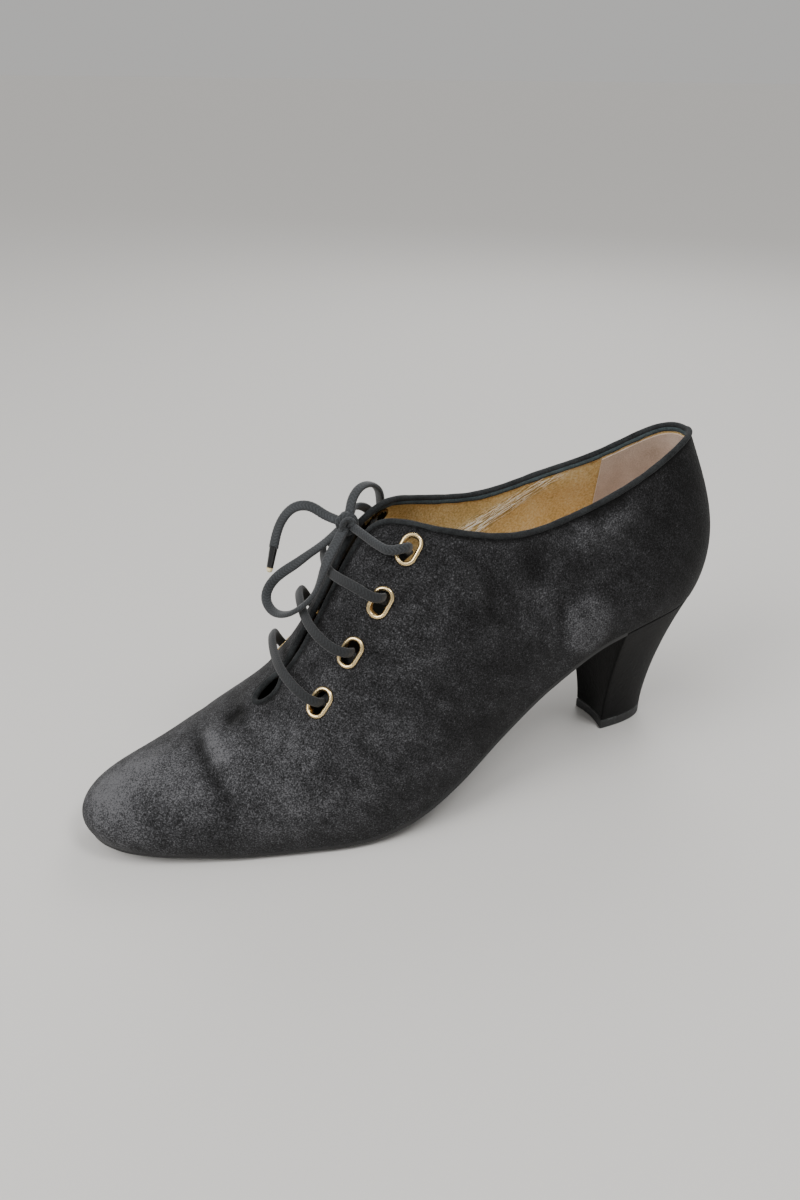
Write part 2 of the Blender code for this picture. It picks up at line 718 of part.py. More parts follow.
def stadium(length, width, steps):
    """Return a closed outline with two straight sides and two round ends, long way along u."""
    radius = width / 2
    straight = (length - width) / 2
    points = []
    for middle, start in ((straight, -math.pi / 2), (-straight, math.pi / 2)):
        for angle in np.linspace(start, start + math.pi, steps + 1):
            points.append((middle + radius * math.cos(angle), radius * math.sin(angle)))
    return np.array(points)


def eyelet_frame(side, number):
    """Return centre, long direction, cross direction and outward normal of an eyelet."""
    row = EYELETS[number]
    centre, normal = upper_frame(side, row.rib_row, row.down)
    last = len(EYELETS) - 1
    above, below = EYELETS[max(number - 1, 0)], EYELETS[min(number + 1, last)]
    along = upper_point(side, above.rib_row, above.down) - upper_point(side, below.rib_row, below.down)
    along -= normal * (along @ normal)
    along /= np.linalg.norm(along)
    return centre, along, np.cross(normal, along), normal


def eyelet_ring(side, number, material, collection):
    """Return a metal eyelet: a rolled flange on the face and a barrel through the wall."""
    length, width = (size - 2 * EYELET_FLANGE for size in EYELET_OUTER)
    back = -WALL - EYELET_BACK
    section = [(0.0, back), (0.0, FLANGE_MOUTH), FLANGE_CREST, (EYELET_FLANGE, FLANGE_RIM),
               (EYELET_BARREL_WALL, FLANGE_UNDERSIDE), (EYELET_BARREL_WALL, back)]
    centre, along, cross, normal = eyelet_frame(side, number)
    vertices = []
    for grow, height in section:
        for u, v in stadium(length + 2 * grow, width + 2 * grow, EYELET_STEPS):
            vertices.append(centre + along * u + cross * v + normal * height)
    count, rounds = 2 * (EYELET_STEPS + 1), len(section)
    faces = []
    for i in range(rounds):
        for j in range(count):
            a, b = i * count, (i + 1) % rounds * count
            k = (j + 1) % count
            faces.append([a + j, b + j, b + k, a + k])
    return mesh_object(f"eyelet_{SIDE_NAMES[side]}_{number + 1}", vertices, faces, material, collection)


def eyelet_cutter(side, number, material, collection):
    """Return a plug that cuts an eyelet's hole in the upper, with air round the barrel."""
    grow = 2 * (EYELET_BARREL_WALL + GAP - EYELET_FLANGE)
    length, width = (size + grow for size in EYELET_OUTER)
    centre, along, cross, normal = eyelet_frame(side, number)
    outline = stadium(length, width, EYELET_STEPS)
    count = len(outline)
    vertices = [centre + along * u + cross * v + normal * height
                for height in (-3 * WALL, 2 * WALL) for u, v in outline]
    faces = [[i, (i + 1) % count, count + (i + 1) % count, count + i] for i in range(count)]
    faces += [list(range(count))[::-1], list(range(count, 2 * count))]
    item = mesh_object(f"eyelet_hole_{SIDE_NAMES[side]}_{number + 1}", vertices, faces, material, collection)
    item.hide_render = True
    item.display_type = "WIRE"
    return item


def cut(item, cutter):
    """Cut one closed mesh out of another."""
    boolean = item.modifiers.new(cutter.name, "BOOLEAN")
    boolean.operation = "DIFFERENCE"
    boolean.object = cutter


def lace_rise(side, number, rows, slot=0.0, droop=0.0):
    """Return the lace's points out of an eyelet, from inside its barrel towards the slit."""
    centre, along, _, normal = eyelet_frame(side, number - 1)
    inward = upper_point(side, EYELETS[number - 1].rib_row, 0.0) - centre
    inward -= normal * (inward @ normal)
    inward /= np.linalg.norm(inward)
    lower = MEDIAL_RISE if side == MEDIAL else 1.0
    points = []
    for row in rows:
        height = row.height * lower if row.height > LACE_DIAMETER else row.height
        points.append(centre + along * (slot - droop * row.slack) + inward * row.inward + normal * height)
    return points


def lace_bar(bar, material, collection):
    """Return one bar, which humps over the slit from an outer eyelet to its inner partner."""
    outer = lace_rise(LATERAL, bar.pair, RISE, bar.slot, bar.droop)
    inner = lace_rise(MEDIAL, bar.pair, RISE, bar.slot)
    edges = [upper_point(side, bar.cross_row, 0.0) for side in (LATERAL, MEDIAL)]
    along = upper_point(LATERAL, bar.cross_row + 0.2, 0.0) - upper_point(LATERAL, bar.cross_row - 0.2, 0.0)
    normal = np.array([along[2], 0.0, -along[0]])
    top = sum(edges) / 2 + normal / np.linalg.norm(normal) * bar.hump
    route = smooth_route([*outer, top, *inner[::-1]], LACE_STEP)
    return tube(f"lace_bar_{bar.pair}", route, LACE_DIAMETER, material, collection)


def lace_tie(side, route, material, collection):
    """Return the stretch of lace from a top eyelet to the knot."""
    points = smooth_route([*lace_rise(side, 1, TIE_RISE), *route], LACE_STEP)
    return tube(f"lace_tie_{SIDE_NAMES[side]}", points, LACE_DIAMETER, material, collection)


def lace_knot(material, collection):
    """Return the knot as a rounded body over the slit."""
    normal = np.array(KNOT_NORMAL) / np.linalg.norm(KNOT_NORMAL)
    across = np.array([0.0, 1.0, 0.0])
    axes = np.array([normal, across, np.cross(normal, across)]) * np.array(KNOT_RADII)[:, None]
    centre = np.array(KNOT_CENTRE)
    vertices, rings = [], []
    for tilt in np.linspace(0, math.pi, KNOT_STEPS // 2 + 1):
        pole = min(tilt, math.pi - tilt) < 1e-6
        turns = [0.0] if pole else np.linspace(0, 2 * math.pi, KNOT_STEPS, endpoint=False)
        rings.append([len(vertices) + i for i in range(len(turns))])
        for turn in turns:
            share = np.array([math.sin(tilt) * math.cos(turn), math.cos(tilt), math.sin(tilt) * math.sin(turn)])
            vertices.append(centre + share @ axes)
    faces = []
    for here, there in zip(rings[:-1], rings[1:]):
        for i in range(KNOT_STEPS):
            k = i + 1
            corners = [here[i % len(here)], here[k % len(here)], there[k % len(there)], there[i % len(there)]]
            faces.append(list(dict.fromkeys(corners)))
    return mesh_object("lace_knot", vertices, faces, material, collection)


def lace_loop(material, collection):
    """Return the bow's loop, which lies over the bars."""
    return tube("lace_loop", smooth_route(LOOP, CORD_STEP), LACE_DIAMETER, material, collection)


def lace_end(number, cord, sheath, collection):
    """Make one free end of the lace and the aglet at its tip."""
    points = smooth_route(ENDS[number], CORD_STEP)
    tube(f"lace_end_{number}", points, LACE_DIAMETER, cord, collection)
    way = points[-1] - points[-2]
    way /= np.linalg.norm(way)
    tip = [points[-1] + way * GAP, points[-1] + way * (GAP + AGLET_LENGTH)]
    tube(f"aglet_{number}", tip, AGLET_DIAMETER, sheath, collection)


def main():
    """Build every piece of the shoe."""
    empty_scene()
    shoe = new_collection("lace_up_heel")
    cutters = new_collection("cutters")
    suede = plain_material("black_suede", (0.020, 0.020, 0.021), 0.95)
    tape = plain_material("binding_tape", (0.018, 0.021, 0.023), 0.8)
    board = plain_material("gold_insole_leather", (0.55, 0.32, 0.11), 0.5)
    leather = plain_material("black_sole_leather", (0.012, 0.012, 0.012), 0.5)
    rubber = plain_material("black_top_piece_rubber", (0.012, 0.012, 0.012), 0.6)
    cord = plain_material("woven_cotton_lace", (0.030, 0.033, 0.036), 0.85)
    sheath = plain_material("black_aglet_plastic", (0.010, 0.010, 0.011), 0.3)
    brass = plain_material("pale_gold_metal", (0.83, 0.68, 0.40), 0.25, 1.0)
    upper = upper_shell(suede, shoe)
    collar_binding(tape, shoe)
    outsole(leather, shoe)
    insole(board, shoe)
    covered_heel(suede, shoe)
    heel_top_piece(rubber, shoe)
    for side in (LATERAL, MEDIAL):
        for number in range(len(EYELETS)):
            eyelet_ring(side, number, brass, shoe)
            cut(upper, eyelet_cutter(side, number, suede, cutters))
    for bar in BARS:
        lace_bar(bar, cord, shoe)
    lace_tie(LATERAL, LATERAL_TIE, cord, shoe)
    lace_tie(MEDIAL, MEDIAL_TIE, cord, shoe)
    lace_knot(cord, shoe)
    lace_loop(cord, shoe)
    for number in ENDS:
        lace_end(number, cord, sheath, shoe)


main()
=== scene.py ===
"""Dressed model of a woman's lace-up court shoe for the left foot, in black suede on a curved covered heel.

Sizes are in millimetres in the shoe's own measure, the same as in its solids: x from the back of the feather
edge towards the toe, y towards the outer (lateral) side, z up. They become metres of the shared frame where a
mesh is made. The feather edge is the line where upper and sole meet.
"""
import logging
import math
from dataclasses import dataclass, field
from enum import Enum
from functools import cached_property
from typing import Any, NamedTuple, Optional, Sequence

import bpy
import numpy as np
from mathutils import Matrix, Vector


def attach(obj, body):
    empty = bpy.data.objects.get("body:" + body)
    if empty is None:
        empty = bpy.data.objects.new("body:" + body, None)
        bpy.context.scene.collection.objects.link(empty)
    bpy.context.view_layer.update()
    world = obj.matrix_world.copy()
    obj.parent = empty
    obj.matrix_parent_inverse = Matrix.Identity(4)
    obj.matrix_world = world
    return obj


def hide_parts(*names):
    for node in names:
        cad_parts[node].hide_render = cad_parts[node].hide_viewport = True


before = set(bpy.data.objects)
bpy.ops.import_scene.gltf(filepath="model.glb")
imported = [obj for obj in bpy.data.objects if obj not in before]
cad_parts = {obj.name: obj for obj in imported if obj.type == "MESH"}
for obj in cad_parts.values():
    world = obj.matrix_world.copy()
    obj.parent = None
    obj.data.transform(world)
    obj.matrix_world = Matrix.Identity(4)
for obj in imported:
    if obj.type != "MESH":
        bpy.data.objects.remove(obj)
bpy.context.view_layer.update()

MM = 0.001
LOG = logging.getLogger("lace_up_heel")
Points = np.ndarray
Point = tuple[float, float, float]
Stops = tuple[tuple[float, str], ...]
NodeTree, Node, Socket = bpy.types.NodeTree, bpy.types.Node, bpy.types.NodeSocket
Piece = bpy.types.Object
ROUTE_SAMPLES = 600
BEVEL_STEPS = 3
BEVEL_ANGLE = 40.0
ANY_HEIGHT = 1e6    # a patch of this height reaches through the whole shoe


class Side(Enum):
    """Half of the shoe that a piece sits on."""

    LATERAL = 1
    MEDIAL = -1

    @property
    def word(self) -> str:
        """Return the side's name as the solids spell it."""
        return self.name.lower()


class Slot(Enum):
    """Material slots of the part's record."""

    SUEDE = "black_suede"
    BINDING = "binding_tape"
    SOLE = "sole_leather"
    INSOLE = "insole_leather"
    TOP_PIECE = "top_piece_rubber"
    METAL = "pale_gold_metal"
    LACE = "lace_cotton"
    AGLET = "aglet_plastic"


def linear(colour: str) -> tuple[float, float, float, float]:
    """Return the linear RGBA of an sRGB hex colour such as #202124.

    Args:
        colour: The hex colour.

    Returns:
        Red, green, blue and alpha.
    """
    parts = [int(colour[i:i + 2], 16) / 255 for i in (1, 3, 5)]
    red, green, blue = (c / 12.92 if c <= 0.04045 else ((c + 0.055) / 1.055) ** 2.4 for c in parts)
    return red, green, blue, 1.0


def per_metre(size: float) -> float:
    """Return the texture scale that draws a pattern at a size in millimetres."""
    return 1 / (size * MM)


def add_node(tree: NodeTree, kind: str, settings: Optional[dict[str, Any]] = None,
             sockets: Optional[dict[Any, Any]] = None) -> Node:
    """Add a shader node with its settings and links.

    Args:
        tree: Node tree that the node joins.
        kind: Blender's type name of the node.
        settings: Values of the node's own properties; stops lists a colour ramp's (place, hex) pairs.
        sockets: Values of its inputs, or outputs of other nodes to link to them.

    Returns:
        The new node.
    """
    node = tree.nodes.new(kind)
    for name, value in (settings or {}).items():
        if name == "stops":
            ramp = node.color_ramp.elements
            while len(ramp) < len(value):
                ramp.new(1.0)
            for stop, (place, colour) in zip(ramp, value):
                stop.position, stop.color = place, linear(colour)
        else:
            setattr(node, name, value)
    for name, value in (sockets or {}).items():
        if isinstance(value, Socket):
            tree.links.new(value, node.inputs[name])
        else:
            node.inputs[name].default_value = value
    return node


def natural_spline(knots: Sequence[float], values: Any, at: Any) -> Points:
    """Read a smooth curve that is straight at both ends.

    Args:
        knots: Rising places at which the curve is known.
        values: Its values there, one row for each knot.
        at: Places to read.

    Returns:
        One row of values for each place.
    """
    knots = np.asarray(knots, float)
    values = np.asarray(values, float).reshape(len(knots), -1)
    width = np.diff(knots)
    slope = np.diff(values, axis=0) / width[:, None]
    system = np.eye(len(knots))
    bend = np.zeros_like(values)
    for i in range(1, len(knots) - 1):
        system[i, i - 1:i + 2] = width[i - 1], 2 * (width[i - 1] + width[i]), width[i]
        bend[i] = 6 * (slope[i] - slope[i - 1])
    bend = np.linalg.solve(system, bend)
    at = np.atleast_1d(np.asarray(at, float))
    k = np.clip(np.searchsorted(knots, at, side="right") - 1, 0, len(knots) - 2)
    s, h = (at - knots[k])[:, None], width[k][:, None]
    start = slope[k] - h * (2 * bend[k] + bend[k + 1]) / 6
    return values[k] + s * start + s ** 2 * bend[k] / 2 + s ** 3 * (bend[k + 1] - bend[k]) / (6 * h)


def level_spline(knots: Sequence[float], values: Any, at: Any) -> Points:
    """Read a smooth curve that never swings past its values.

    Args:
        knots: Rising places at which the curve is known.
        values: Its value at each of them.
        at: Places to read.

    Returns:
        The value at each place.
    """
    knots, values = np.asarray(knots, float), np.asarray(values, float)
    width = np.diff(knots)
    slope = np.diff(values) / width
    turn = np.zeros(len(knots))
    turn[0], turn[-1] = slope[0], slope[-1]
    for i in range(1, len(knots) - 1):
        if slope[i - 1] * slope[i] > 0:
            a, b = 2 * width[i] + width[i - 1], width[i] + 2 * width[i - 1]
            turn[i] = (a + b) / (a / slope[i - 1] + b / slope[i])
    at = np.asarray(at, float)
    k = np.clip(np.searchsorted(knots, at, side="right") - 1, 0, len(knots) - 2)
    h = width[k]
    t = (at - knots[k]) / h
    return ((1 + 2 * t) * (1 - t) ** 2 * values[k] + t * (1 - t) ** 2 * h * turn[k]
            + t ** 2 * (3 - 2 * t) * values[k + 1] + t ** 2 * (t - 1) * h * turn[k + 1])


def run_along(points: Any) -> Points:
    """Return how far along a line each of its points lies."""
    return np.concatenate([[0.0], np.cumsum(np.linalg.norm(np.diff(points, axis=0), axis=1))])


def read_line(at: Any, run: Points, points: Points) -> Points:
    """Return the points of a line at places of its run."""
    return np.column_stack([np.interp(at, run, column) for column in points.T])


def smooth_route(points: Any, spacing: float) -> Points:
    """Return points at even spacing along a smooth curve through the points given.

    Args:
        points: Points that the curve passes.
        spacing: Distance between the new points.

    Returns:
        The new points.
    """
    points = np.asarray(points, float)
    knots = run_along(points)
    fine = natural_spline(knots, points, np.linspace(0, knots[-1], ROUTE_SAMPLES))
    run = run_along(fine)
    return read_line(np.linspace(0, run[-1], max(2, round(run[-1] / spacing)) + 1), run, fine)


def unit(vectors: Any) -> Points:
    """Return vectors scaled to length one."""
    vectors = np.asarray(vectors, float)
    return vectors / np.maximum(np.linalg.norm(vectors, axis=-1, keepdims=True), 1e-12)


def ease(share: Any) -> Points:
    """Return a share from 0 to 1 with soft ends."""
    share = np.clip(share, 0, 1)
    return share * share * (3 - 2 * share)


class Rib(NamedTuple):
    """One rib of the upper, a curve from the feather edge up to the ridge or the collar."""

    foot: float
    top_x: float
    top_z: float
    lateral_gap: float
    medial_gap: float
    lean: float
    foot_reach: float
    swing: float
    rise: float
    top_reach: float


class EyeletRow(NamedTuple):
    """One pair of eyelets: the rib they sit on, and how far down from its top."""

    rib_row: float
    down: float


class Spot(NamedTuple):
    """A place on the upper with the directions of its face."""

    centre: Points
    along: Points
    cross: Points
    normal: Points


@dataclass(frozen=True)
class Last:
    """The form that the shoe is built over, with the same tables as its solids."""

    origin: Point = (116.45186, -0.40922, 0.0)
    upper_lift: float = 0.5
    outline: tuple[Point, ...] = (
        (235.0, -3.0, -3.0), (232.0, 5.7, -12.4), (224.0, 13.4, -20.0), (208.0, 20.7, -27.8),
        (188.0, 26.8, -34.6), (168.0, 32.0, -37.4), (148.0, 36.2, -34.5), (125.0, 36.6, -26.3),
        (98.0, 32.0, -21.8), (70.0, 28.9, -22.8), (42.0, 27.3, -25.6), (20.0, 22.6, -22.2),
        (5.0, 12.5, -11.6), (0.0, 0.0, 0.0))
    profile: tuple[tuple[float, float], ...] = (
        (-8.0, 60.6), (25.0, 60.0), (50.0, 55.9), (75.0, 43.6), (95.0, 29.9), (115.0, 15.6), (135.0, 5.8),
        (148.0, 2.9), (160.0, 2.0), (188.0, 2.0), (207.0, 3.4), (225.0, 4.6), (242.0, 5.4))
    ribs: tuple[Rib, ...] = (
        Rib(0.000, 212.0, 29.4, 0.0, 0.0, 34.8, 0.45, 0.0, 23.0, 0.55),
        Rib(0.060, 208.8, 30.1, 0.0, 0.0, 33.4, 0.41, 45.0, 18.0, 0.53),
        Rib(0.130, 199.0, 32.7, 0.0, 0.0, 30.5, 0.37, 78.0, 8.0, 0.48),
        Rib(0.220, 183.3, 40.2, 0.0, 0.0, 25.5, 0.40, 90.0, 1.5, 0.43),
        Rib(0.300, 169.3, 49.8, 0.0, 0.0, 20.8, 0.40, 90.0, 0.0, 0.37),
        Rib(0.380, 158.6, 64.4, 1.6, 1.6, 16.7, 0.35, 90.0, 2.6, 0.31),
        Rib(0.460, 147.4, 85.0, 1.6, 1.6, 12.7, 0.35, 90.0, 6.0, 0.26),
        Rib(0.540, 133.9, 105.5, 3.0, 3.0, 10.7, 0.33, 92.0, 11.0, 0.26),
        Rib(0.610, 114.2, 106.5, 15.4, 13.6, 10.1, 0.33, 95.0, 50.0, 0.31),
        Rib(0.690, 89.0, 101.8, 18.2, 19.4, 12.1, 0.32, 98.0, 71.0, 0.33),
        Rib(0.780, 62.9, 105.1, 16.6, 19.6, 14.9, 0.33, 100.0, 75.0, 0.33),
        Rib(0.870, 36.2, 112.6, 12.8, 15.4, 18.5, 0.33, 110.0, 74.0, 0.33),
        Rib(0.945, 16.0, 121.8, 8.0, 9.6, 24.0, 0.38, 135.0, 69.0, 0.35),
        Rib(1.000, 9.4, 123.6, 0.0, 0.0, 26.5, 0.40, 180.0, 66.5, 0.34))
    eyelets: tuple[EyeletRow, ...] = (
        EyeletRow(7.30, 13.0), EyeletRow(6.45, 21.5), EyeletRow(5.70, 21.0), EyeletRow(4.80, 21.5))
    keyhole_row: float = 3.87
    keyhole_half_length: float = 5.6
    keyhole_half_width: float = 2.9
    row_length: float = 17.5
    ridge_swing_x: float = 90.0
    outline_samples: int = 700
    rib_samples: int = 160
    station_scan: tuple[float, float, int] = (0.05, 0.999, 800)     # shares of the feather edge tried for a station
    row_nudge: float = 0.04     # steps that a face's directions are read over
    down_nudge: float = 0.5
    slit_end_row: float = 6.5
    corner_end_row: float = 8.4
    throat_steps: tuple[int, int, int, int] = (5, 8, 10, 15)    # keyhole, slit, corner and collar
    collar_crowding: float = 1.4    # draws rows closer towards the back of the heel

    @property
    def last_row(self) -> int:
        """Return the row of the rib at the back of the heel."""
        return len(self.ribs) - 1

    def to_frame(self, points: Any) -> Points:
        """Return points in metres of the shared frame."""
        return (np.asarray(points, float) - np.array(self.origin)) * MM

    def feather_height(self, x: Any) -> Points:
        """Return the height of the feather edge, which is level across the shoe."""
        return level_spline(*zip(*self.profile), x)

    @cached_property
    def halves(self) -> dict[Side, tuple[Points, Points, Points]]:
        """Return each half of the feather edge, toe to heel: its run, its points and its outward directions.

        Returns:
            For each side, shares of the run, plan points and plan directions.
        """
        lateral = [(x, y) for x, y, _ in self.outline]
        medial = [(x, y) for x, _, y in self.outline]
        ring = np.array(lateral + medial[-2::-1])
        wrap = 4
        closed = np.concatenate([ring[-1 - wrap:-1], ring, ring[1:1 + wrap]])
        knots = run_along(closed)
        toe, heel, toe_again = knots[wrap], knots[wrap + len(lateral) - 1], knots[wrap + len(ring) - 1]
        found = {}
        for side, start in ((Side.LATERAL, toe), (Side.MEDIAL, toe_again)):
            points = natural_spline(knots, closed, np.linspace(start, heel, self.outline_samples))
            along = unit(np.gradient(points, axis=0))
            outward = np.column_stack([along[:, 1], -along[:, 0]]) * side.value
            run = run_along(points)
            found[side] = run / run[-1], points, outward
        return found

    def feather_plan(self, side: Side, share: Any, offset: float = 0.0) -> tuple[Points, Points]:
        """Return plan points at shares of the feather edge, moved outwards by offset, and their directions.

        Args:
            side: Half of the shoe.
            share: Shares of the edge from toe to heel.
            offset: How far outwards the points move.

        Returns:
            The points and the outward directions.
        """
        run, points, outward = self.halves[side]
        plan, way = read_line(share, run, points), unit(read_line(share, run, outward))
        return plan + offset * way, way

    def share_at_x(self, side: Side, x: float, offset: float = 0.0) -> float:
        """Return the share of the feather edge, behind the toe, where it passes a station.

        Args:
            side: Half of the shoe.
            x: The station.
            offset: How far outwards the edge is moved.

        Returns:
            The share.
        """
        share = np.linspace(*self.station_scan)
        plan, _ = self.feather_plan(side, share, offset)
        return float(np.interp(-x, -plan[:, 0], share))

    def ridge_y(self, x: Any) -> Points:
        """Return the sideways place of the ridge, which swings from the heel's middle to the toe's point."""
        toe_x, toe_y, _ = self.outline[0]
        return toe_y * np.clip((x - self.ridge_swing_x) / (toe_x - self.ridge_swing_x), 0, 1)

    def top_gap(self, side: Side, row: Any) -> Points:
        """Return how far the tops of ribs stand off the ridge's middle line."""
        gaps = [rib.lateral_gap if side is Side.LATERAL else rib.medial_gap for rib in self.ribs]
        return level_spline(np.arange(len(self.ribs)), gaps, row)

    def rib_controls(self, side: Side, row: Any) -> Points:
        """Return the four control points of the ribs at rows of the table, as a [rib, point, xyz] array.

        Args:
            side: Half of the shoe.
            row: Rows, whole ones at the table's own ribs.

        Returns:
            The control points, foot first.
        """
        row = np.atleast_1d(np.asarray(row, float))
        before = self.ribs[1]._replace(foot=-self.ribs[1].foot, swing=-self.ribs[1].swing)
        after = self.ribs[-2]._replace(foot=2 - self.ribs[-2].foot, swing=360 - self.ribs[-2].swing)
        table = np.array([before, *self.ribs, after])
        columns = natural_spline(np.arange(-1, len(self.ribs) + 1), table, row).T
        foot, top_x, top_z, _, _, lean, foot_reach, swing, rise, top_reach = columns
        plan, outward = self.feather_plan(side, np.clip(foot, 0, 1))
        start = np.column_stack([plan, self.feather_height(plan[:, 0]) + self.upper_lift])
        top = np.column_stack([top_x, self.ridge_y(top_x) + side.value * self.top_gap(side, row), top_z])
        lean, swing, rise = np.radians(lean), np.radians(swing), np.radians(rise)
        up_from_foot = np.column_stack([outward * np.sin(lean)[:, None], np.cos(lean)])
        into_top = np.column_stack([-np.cos(swing) * np.cos(rise), -side.value * np.sin(swing) * np.cos(rise),
                                    np.sin(rise)])
        chord = np.linalg.norm(top - start, axis=1)[:, None]
        return np.stack([start, start + up_from_foot * foot_reach[:, None] * chord,
                         top - into_top * top_reach[:, None] * chord, top], axis=1)

    @staticmethod
    def along_rib(controls: Points, share: Any) -> Points:
        """Return points of one rib at shares of its run from foot to top.

        Args:
            controls: The rib's four control points.
            share: Shares to read.

        Returns:
            The points.
        """
        a, b, c, d = controls
        t = np.asarray(share, float)[:, None]
        return (1 - t) ** 3 * a + 3 * t * (1 - t) ** 2 * b + 3 * t ** 2 * (1 - t) * c + t ** 3 * d

    def share_below_top(self, controls: Points, down: float) -> float:
        """Return the share of a rib's run that lies a measured way down from its top.

        Args:
            controls: The rib's four control points.
            down: Way down from its top.

        Returns:
            The share.
        """
        share = np.linspace(1, 0, self.rib_samples)
        return float(np.interp(down, run_along(self.along_rib(controls, share)), share))

    def point(self, side: Side, row: float, down: float) -> Points:
        """Return the point of the upper's outer face that lies down from the top of the rib at a row."""
        controls = self.rib_controls(side, row)[0]
        return self.along_rib(controls, [self.share_below_top(controls, down)])[0]

    def face(self, side: Side, row: float, down: float) -> tuple[Points, Points]:
        """Return a point of the upper's outer face and its outward normal.

        Args:
            side: Half of the shoe.
            row: Row of the rib.
            down: Way down from the rib's top.

        Returns:
            The point and the normal.
        """
        along = self.point(side, row + self.row_nudge, down) - self.point(side, row - self.row_nudge, down)
        across = self.point(side, row, down - self.down_nudge) - self.point(side, row, down + self.down_nudge)
        return self.point(side, row, down), unit(np.cross(along, across) * side.value)

    def keyhole_front(self, grow: float) -> float:
        """Return the row at which the keyhole, grown all round, begins."""
        return self.keyhole_row - (self.keyhole_half_length + grow) / self.row_length

    def edge_down(self, side: Side, row: float, grow: float) -> float:
        """Return how far below a rib's top the throat's and collar's edge lies, grown all round.

        Args:
            side: Half of the shoe.
            row: Row of the rib.
            grow: How far the edge is set back from the throat's own.

        Returns:
            The way down from the rib's top.
        """
        reach = (row - self.keyhole_row) * self.row_length / (self.keyhole_half_length + grow)
        hole = (self.keyhole_half_width + grow) * math.sqrt(max(0.0, 1 - reach ** 2)) - float(self.top_gap(side, row))
        return max(hole, grow) if row > self.keyhole_row else max(hole, 0.0)

    def throat_rows(self, grow: float, fineness: float) -> Points:
        """Return rows from the keyhole's front, along slit and collar, to the back of the heel.

        Args:
            grow: How far the edge is set back from the throat's own.
            fineness: Rows for one step of the coarsest drawing.

        Returns:
            The rows, rising.
        """
        at_keyhole, at_slit, at_corner, at_collar = (round(steps * fineness) + 1 for steps in self.throat_steps)
        turn = np.linspace(0, math.pi / 2, at_keyhole)
        keyhole = self.keyhole_row - (self.keyhole_row - self.keyhole_front(grow)) * np.cos(turn)
        slit = np.linspace(self.keyhole_row, self.slit_end_row, at_slit)[1:]
        corner = np.linspace(self.slit_end_row, self.corner_end_row, at_corner)[1:]
        crowded = 1 - np.linspace(1, 0, at_collar)[1:] ** self.collar_crowding
        collar = self.corner_end_row + (self.last_row - self.corner_end_row) * crowded
        return np.concatenate([keyhole, slit, corner, collar])

    def eyelet_spot(self, side: Side, number: int) -> Spot:
        """Return the place of an eyelet, numbered from 1 at the top.

        Args:
            side: Half of the shoe.
            number: The eyelet's number.

        Returns:
            Its centre, its long and cross directions and the face's normal.
        """
        row = self.eyelets[number - 1]
        centre, normal = self.face(side, row.rib_row, row.down)
        above = self.eyelets[max(number - 2, 0)]
        below = self.eyelets[min(number, len(self.eyelets) - 1)]
        along = self.point(side, above.rib_row, above.down) - self.point(side, below.rib_row, below.down)
        along = unit(along - normal * (along @ normal))
        return Spot(centre, along, np.cross(normal, along), normal)

    def eyelet_spots(self) -> list[tuple[Side, int, Spot]]:
        """Return every eyelet's side, number and place."""
        return [(side, number, self.eyelet_spot(side, number))
                for side in Side for number in range(1, len(self.eyelets) + 1)]


LAST = Last()


